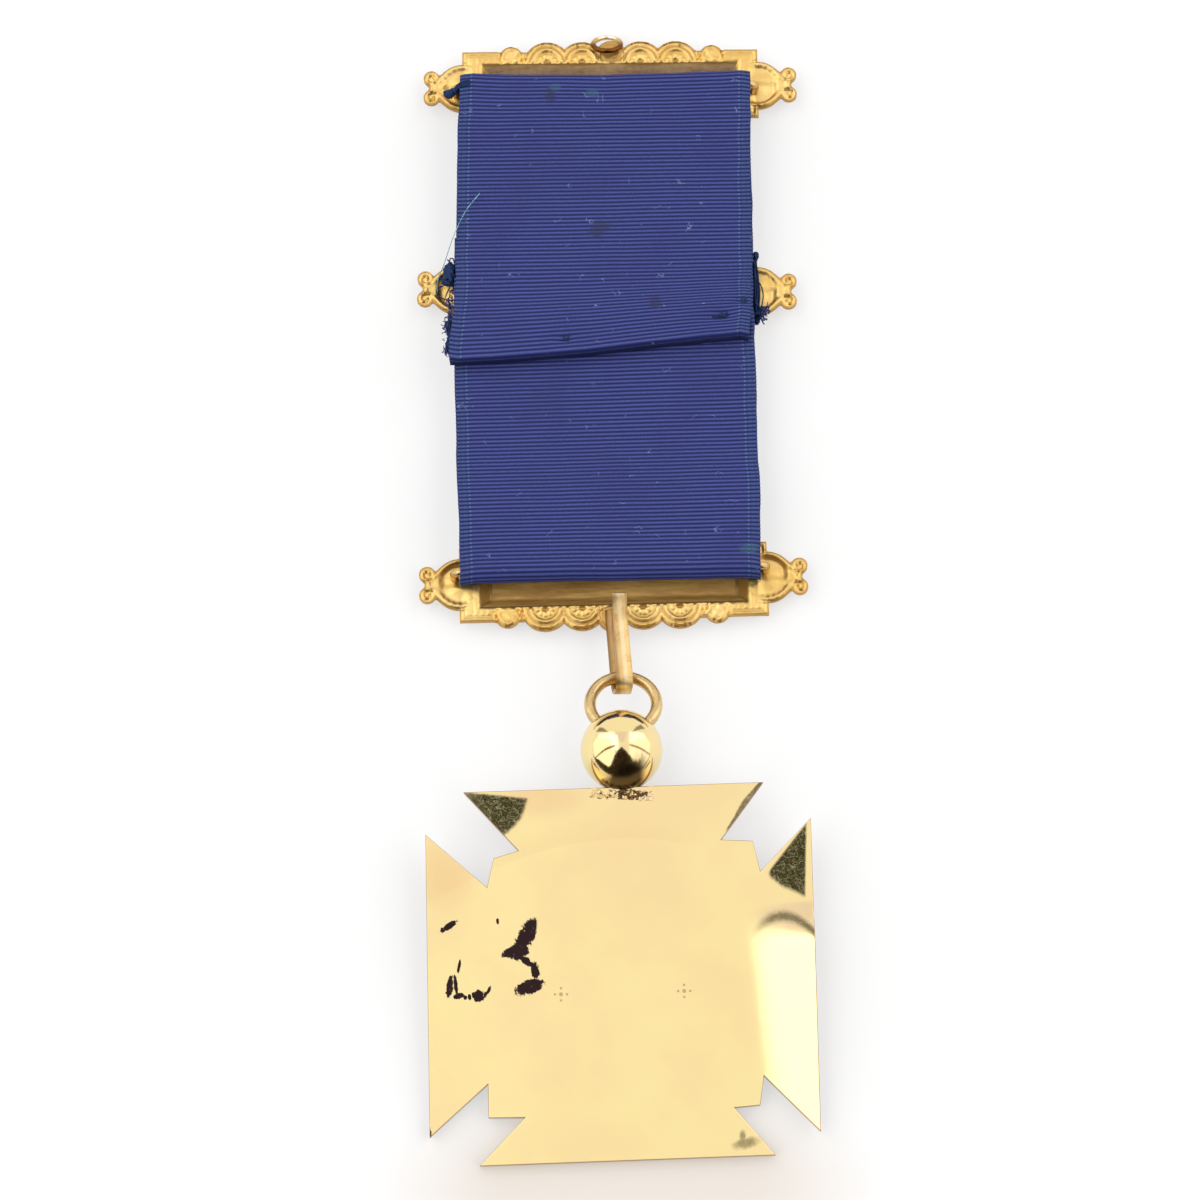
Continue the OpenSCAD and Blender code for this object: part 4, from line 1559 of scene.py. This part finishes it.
class JEWEL_OT_ribbon(bpy.types.Operator):
    """Fold the ribbed ribbon round both rails, with its flap and rolled hem"""

    bl_idname = "jewel.ribbon"
    bl_label = "Ribbon"

    def execute(self, context):
        sizes = context.scene.jewel_sizes
        path = StrapPath(sizes.cloth / MM)
        width = RIBBON_WIDTH
        bm, ribs = ribbon_solid(path, sizes)
        hem = (path.marks["hem_upper"] + 0.5) / path.length
        paint = ribbon_paint(context.scene.jewel_colours, ribs, width, hem)
        piece = make_piece("ribbon_strap", bm, paint, ["ribbon"])
        return {"FINISHED"}


class JEWEL_OT_bars(bpy.types.Operator):
    """Strike the three bars, whose hollow backs face up"""

    bl_idname = "jewel.bars"
    bl_label = "Struck bars"

    def execute(self, context):
        sizes = context.scene.jewel_sizes
        paint = struck_paint(context.scene.jewel_colours)
        for seed, name in enumerate(BARS):
            dim = DUSTY_SHADE_TONE if name == "top_bar" else DIM_TONE
            bm = bar_solid(sizes.bar_cell / MM, seed + 1, sizes.strike_grain / MM, dim)
            bmesh.ops.transform(bm, matrix=bar_matrix(name), verts=bm.verts)
            make_piece(name + "_struck", bm, paint, [name], sharp=70)
        return {"FINISHED"}


class JEWEL_OT_rails(bpy.types.Operator):
    """Bend the two rails that carry the ribbon and solder on the eyelet"""

    bl_idname = "jewel.rails"
    bl_label = "Rails and eyelet"

    def execute(self, context):
        colours = context.scene.jewel_colours
        paint = old_gilt_paint(colours, "rail_gold")
        for name, shift in RAIL_SHIFTS.items():
            bm = bmesh.new()
            sweep(bm, ring_section(RAIL_R, 16), frames_along(self.rail_path(), up=(0, 1, 0)))
            bmesh.ops.translate(bm, verts=bm.verts, vec=(shift, 0, 0))
            bmesh.ops.transform(bm, matrix=bar_matrix(name), verts=bm.verts)
            make_piece(name + "_rail", bm, paint, sharp=50)
        bm = bmesh.new()
        torus(bm, *EYELET, 56, 18)
        bmesh.ops.transform(bm, matrix=Matrix.Rotation(math.radians(EYELET_LEAN), 4, "X"), verts=bm.verts)
        x, y, _ = BARS["top_bar"]
        bmesh.ops.translate(bm, verts=bm.verts, vec=(x + EYELET_AT[0], y + EYELET_AT[1], EYELET_AT[2]))
        make_piece("eyelet", bm, old_gilt_paint(colours, "eyelet_gold", wear_and_shading=eyelet_foot_and_highlight))
        return {"FINISHED"}

    def rail_path(self):
        """Up one post, along over the bar and down the other post."""
        turns = [math.radians(a) for a in range(90, -1, -15)]
        bend = [(RAIL_BEND * (1 - math.sin(a)), RAIL_BEND * (math.cos(a) - 1)) for a in turns]
        line = [(-POST_U + out, RAIL_Z + down) for out, down in bend]
        line = [(line[0][0], POST_FOOT_Z)] + line
        return [(px, RAIL_Y, pz) for px, pz in line] + [(-px, RAIL_Y, pz) for px, pz in reversed(line)]


class JEWEL_OT_hook(bpy.types.Operator):
    """Bend the half-round hook strip through the ring"""

    bl_idname = "jewel.hook"
    bl_label = "Hook"

    def execute(self, context):
        paint = old_gilt_paint(context.scene.jewel_colours, "hook_gold", WARM_HOOK, hook_wear_and_shading)
        frames = frames_along([(0, y, z) for y, z in self.hook_line()], up=(1, 0, 0))
        curve = [math.radians(a) for a in range(0, 181, 15)]
        section = [(-HOOK_THICK * math.sin(a) ** 0.8, HOOK_HALF * math.cos(a)) for a in curve]
        section += [(0.02, -HOOK_HALF * 0.93), (0.02, 0), (0.02, HOOK_HALF * 0.93)]
        bm = bmesh.new()
        sweep(bm, section, frames)
        for vert in bm.verts:
            if vert.co.z > 2 * HOOK_BEND - 0.2:
                vert.co.x *= 1 - 0.1 * min(max((vert.co.y + HOOK_LEG) / TIP_R, 0), 1)
        ends = [f for f in bm.faces if len(f.verts) > 6]
        soften(bm, list({e for f in ends for e in f.edges}), 0.08)
        bmesh.ops.translate(bm, verts=bm.verts, vec=(0, 0, HOOK_THICK))
        place = Matrix.Translation(HOOK_AT) @ Matrix.Rotation(math.radians(HOOK_TURN), 4, "Z")
        place = place @ Matrix.Rotation(math.radians(HOOK_ROLL), 4, "Y")
        bmesh.ops.transform(bm, matrix=place, verts=bm.verts)
        make_piece("hook_strip", bm, paint, sharp=45)
        return {"FINISHED"}

    def hook_line(self):
        """Y and Z along the hook: its leg, the bend, the way back and the lifted tip."""
        back, top = HOOK_FREE - HOOK_LEG, 2 * HOOK_BEND
        line = [(y, 0.0) for y in np.linspace(0, -HOOK_LEG, 8)]
        line += arc_points((-HOOK_LEG, HOOK_BEND), HOOK_BEND, 270, 90, 20)[1:]
        line += [(y, top) for y in np.linspace(-HOOK_LEG, back, 8)[1:]]
        turns = np.linspace(0, TIP_ANGLE, 9)[1:]
        return line + [(back + TIP_R * math.sin(a), top + TIP_R - TIP_R * math.cos(a)) for a in turns]


class JEWEL_OT_cross(bpy.types.Operator):
    """Cut and bend the cross plate and solder on its ball and ring"""

    bl_idname = "jewel.cross"
    bl_label = "Cross, ball and ring"

    def execute(self, context):
        sizes, colours = context.scene.jewel_sizes, context.scene.jewel_colours
        bm = cross_solid(sizes.plate_cell / MM)
        paint = plate_paint(colours)
        plate = make_piece("cross_plate", bm, paint, ["cross_pendant"], sharp=20)
        bpy.data.collections["plate_light"].objects.link(plate)
        bm = bmesh.new()
        bmesh.ops.create_uvsphere(bm, u_segments=96, v_segments=48, radius=BALL_R)
        bmesh.ops.translate(bm, verts=bm.verts, vec=BALL_AT)
        make_piece("ball", bm, ball_paint(colours))
        bm = bmesh.new()
        torus(bm, *RING, 96, 24)
        bmesh.ops.transform(bm, matrix=Matrix.Rotation(math.radians(-RING_DIP), 4, "X"), verts=bm.verts)
        bmesh.ops.translate(bm, verts=bm.verts, vec=RING_AT)
        make_piece("ring", bm, old_gilt_paint(colours, "ring_gold", WARM_RING))
        self.solder("ball_solder", old_gilt_paint(colours, "solder_gold", FRESH_SOLDER), 44, (-3.2, 4.6))
        self.solder("solder_crust", matt_paint("burnt_solder", BURNT, BURNT_LIGHT), 30, (0.2, 3.7))
        return {"FINISHED"}

    def solder(self, name, paint, count, span):
        """Rough crumbs of solder on the plate at the ball's foot."""
        rng = np.random.default_rng(count)
        bm = bmesh.new()
        for _ in range(count):
            x = rng.uniform(*span)
            y = -30.1 - 0.9 * rng.uniform() - 0.06 * x
            size = Vector((rng.uniform(0.25, 0.65), rng.uniform(0.16, 0.38), rng.uniform(0.1, 0.24)))
            made = bmesh.ops.create_icosphere(bm, subdivisions=1, radius=1)
            turn = Matrix.Rotation(rng.uniform(-0.5, 0.9), 4, "Z")
            level = 5.25 + (y + 31.25) * 0.0875
            place = Matrix.Translation((x, y, level)) @ turn @ Matrix.Diagonal((*size, 1))
            bmesh.ops.transform(bm, matrix=place, verts=made["verts"])
            for vert in made["verts"]:
                vert.co += Vector(rng.normal(0, 0.045, 3))
        make_piece(name, bm, paint, sharp=40)


class JEWEL_OT_threads(bpy.types.Operator):
    """Draw the loose sewing threads and frayed ends beside the bars"""

    bl_idname = "jewel.threads"
    bl_label = "Loose threads"

    def execute(self, context):
        colours = context.scene.jewel_colours
        dark = matt_paint("dark_thread", colours.thread, DARK_THREAD_LIGHT)
        pale = matt_paint("faded_thread", colours.pale_thread, PALE_THREAD_LIGHT)
        frayed = matt_paint("frayed_thread", FRAYED, FRAYED_LIGHT)
        self.wires("pale_thread", pale, 0.055, [PALE_THREAD])
        self.wires("dark_threads", dark, 0.085, self.knot() + self.stitches())
        self.wires("frayed_edge", frayed, 0.05, self.tufts(np.random.default_rng(3), FRAY_TUFTS, 0.7))
        self.wads(dark)
        return {"FINISHED"}

    def wads(self, material):
        """Matted lumps of thread."""
        bm = bmesh.new()
        for middle, size in WADS:
            made = bmesh.ops.create_icosphere(bm, subdivisions=4, radius=1)
            for vert in made["verts"]:
                x, y, z = vert.co * 3.1
                coarse, fine = value_noise(x + z, y - z, 3), value_noise(3 * x - z, 3 * y, 6)
                vert.co = vert.co * (1 + 0.22 * float(coarse) + 0.1 * float(fine))
            place = Matrix.Translation(middle) @ Matrix.Diagonal((*size, 1))
            bmesh.ops.transform(bm, matrix=place, verts=made["verts"])
        make_piece("thread_wads", bm, material)

    def wires(self, name, material, thick, paths):
        bm = bmesh.new()
        spare = bpy.data.meshes.new("strand")
        for path in paths:
            tube = bmesh.new()
            sweep(tube, ring_section(thick, 6), frames_along(smooth_path(path, 5)))
            tube.to_mesh(spare)
            tube.free()
            bm.from_mesh(spare)
        bpy.data.meshes.remove(spare)
        make_piece(name, bm, material)

    def tufts(self, rng, places, curl):
        """Short crooked strands inside oval spaces: middle, half sizes and number of strands."""
        made = []
        for middle, size, count in places:
            for _ in range(count):
                path = [np.array(middle) + rng.normal(0, 0.45, 3) * size]
                step = rng.normal(0, 1, 3)
                for _ in range(3):
                    step = step * (1 - curl) + rng.normal(0, 1, 3) * curl
                    path.append(path[-1] + step / np.linalg.norm(step) * size * 0.42)
                made.append(path)
        return made

    def knot(self):
        """The threads that lead from the wad at the top bar over the ribbon's corner."""
        made = []
        for shift in [0.2 * k for k in range(4)]:
            wad, rise = (-20.6, 66.1 + shift, 4.5), (-20.0, 66.4 + shift, 5.4)
            made.append([wad, rise, (-19.3, 66.6 + shift, 5.95), (-18.3, 66.8 + shift, 6.0)])
        return made

    def stitches(self):
        """Loose stitching at the middle bar's two ends and in the flap's puckers."""
        rng = np.random.default_rng(5)
        made = self.tufts(rng, STITCH_TUFTS, 0.5)
        made.append(LEFT_STITCH)
        for _ in range(13):
            x, z = 18.75 + rng.uniform(-0.15, 0.35), rng.uniform(2.7, 4.1)
            bow = rng.uniform(0.0, 0.45)
            top = (x, 42.0 + rng.uniform(-0.5, 0.3), z)
            foot = (x + 0.15, 34.6 + rng.uniform(-0.3, 0.3), z - 0.1)
            made.append([top, (x + bow * 0.7, 39.6, z + 0.1), (x + bow, 37.2, z), foot])
        made.append(RIGHT_STITCH)
        for x, y, z in FLAP_STITCHES:
            made.append([(x - 0.55, y - 0.1, z + 0.25), (x, y, z), (x + 0.5, y + 0.35, z + 0.3)])
            made.append([(x - 0.25, y + 0.4, z + 0.3), (x, y, z + 0.05), (x + 0.35, y - 0.35, z + 0.25)])
        return made


class JEWEL_PT_panel(bpy.types.Panel):
    """Builders and settings of the breast jewel"""

    bl_idname = "JEWEL_PT_panel"
    bl_label = "Breast jewel"
    bl_space_type = "VIEW_3D"
    bl_region_type = "UI"
    bl_category = "Jewel"

    def draw(self, context):
        for operator in OPERATORS:
            self.layout.operator(operator.bl_idname)
        for group in (context.scene.jewel_sizes, context.scene.jewel_colours, context.scene.jewel_studio):
            box = self.layout.box()
            for key in group.bl_rna.properties.keys():
                if key not in ("rna_type", "name"):
                    box.prop(group, key)


OPERATORS = (
    JEWEL_OT_stage,
    JEWEL_OT_bars,
    JEWEL_OT_rails,
    JEWEL_OT_ribbon,
    JEWEL_OT_hook,
    JEWEL_OT_cross,
    JEWEL_OT_threads,
)
GROUPS = {"jewel_sizes": JewelSizes, "jewel_colours": JewelColours, "jewel_studio": JewelStudio}


def register():
    for key, group in GROUPS.items():
        bpy.utils.register_class(group)
        setattr(bpy.types.Scene, key, bpy.props.PointerProperty(type=group))
    for operator in OPERATORS:
        bpy.utils.register_class(operator)
    bpy.utils.register_class(JEWEL_PT_panel)


def unregister():
    bpy.utils.unregister_class(JEWEL_PT_panel)
    for operator in reversed(OPERATORS):
        bpy.utils.unregister_class(operator)
    for key, group in GROUPS.items():
        delattr(bpy.types.Scene, key)
        bpy.utils.unregister_class(group)


def main():
    register()
    bpy.ops.jewel.stage()
    bpy.ops.jewel.bars()
    bpy.ops.jewel.rails()
    bpy.ops.jewel.ribbon()
    bpy.ops.jewel.hook()
    bpy.ops.jewel.cross()
    bpy.ops.jewel.threads()


if __name__ == "__main__":
    main()
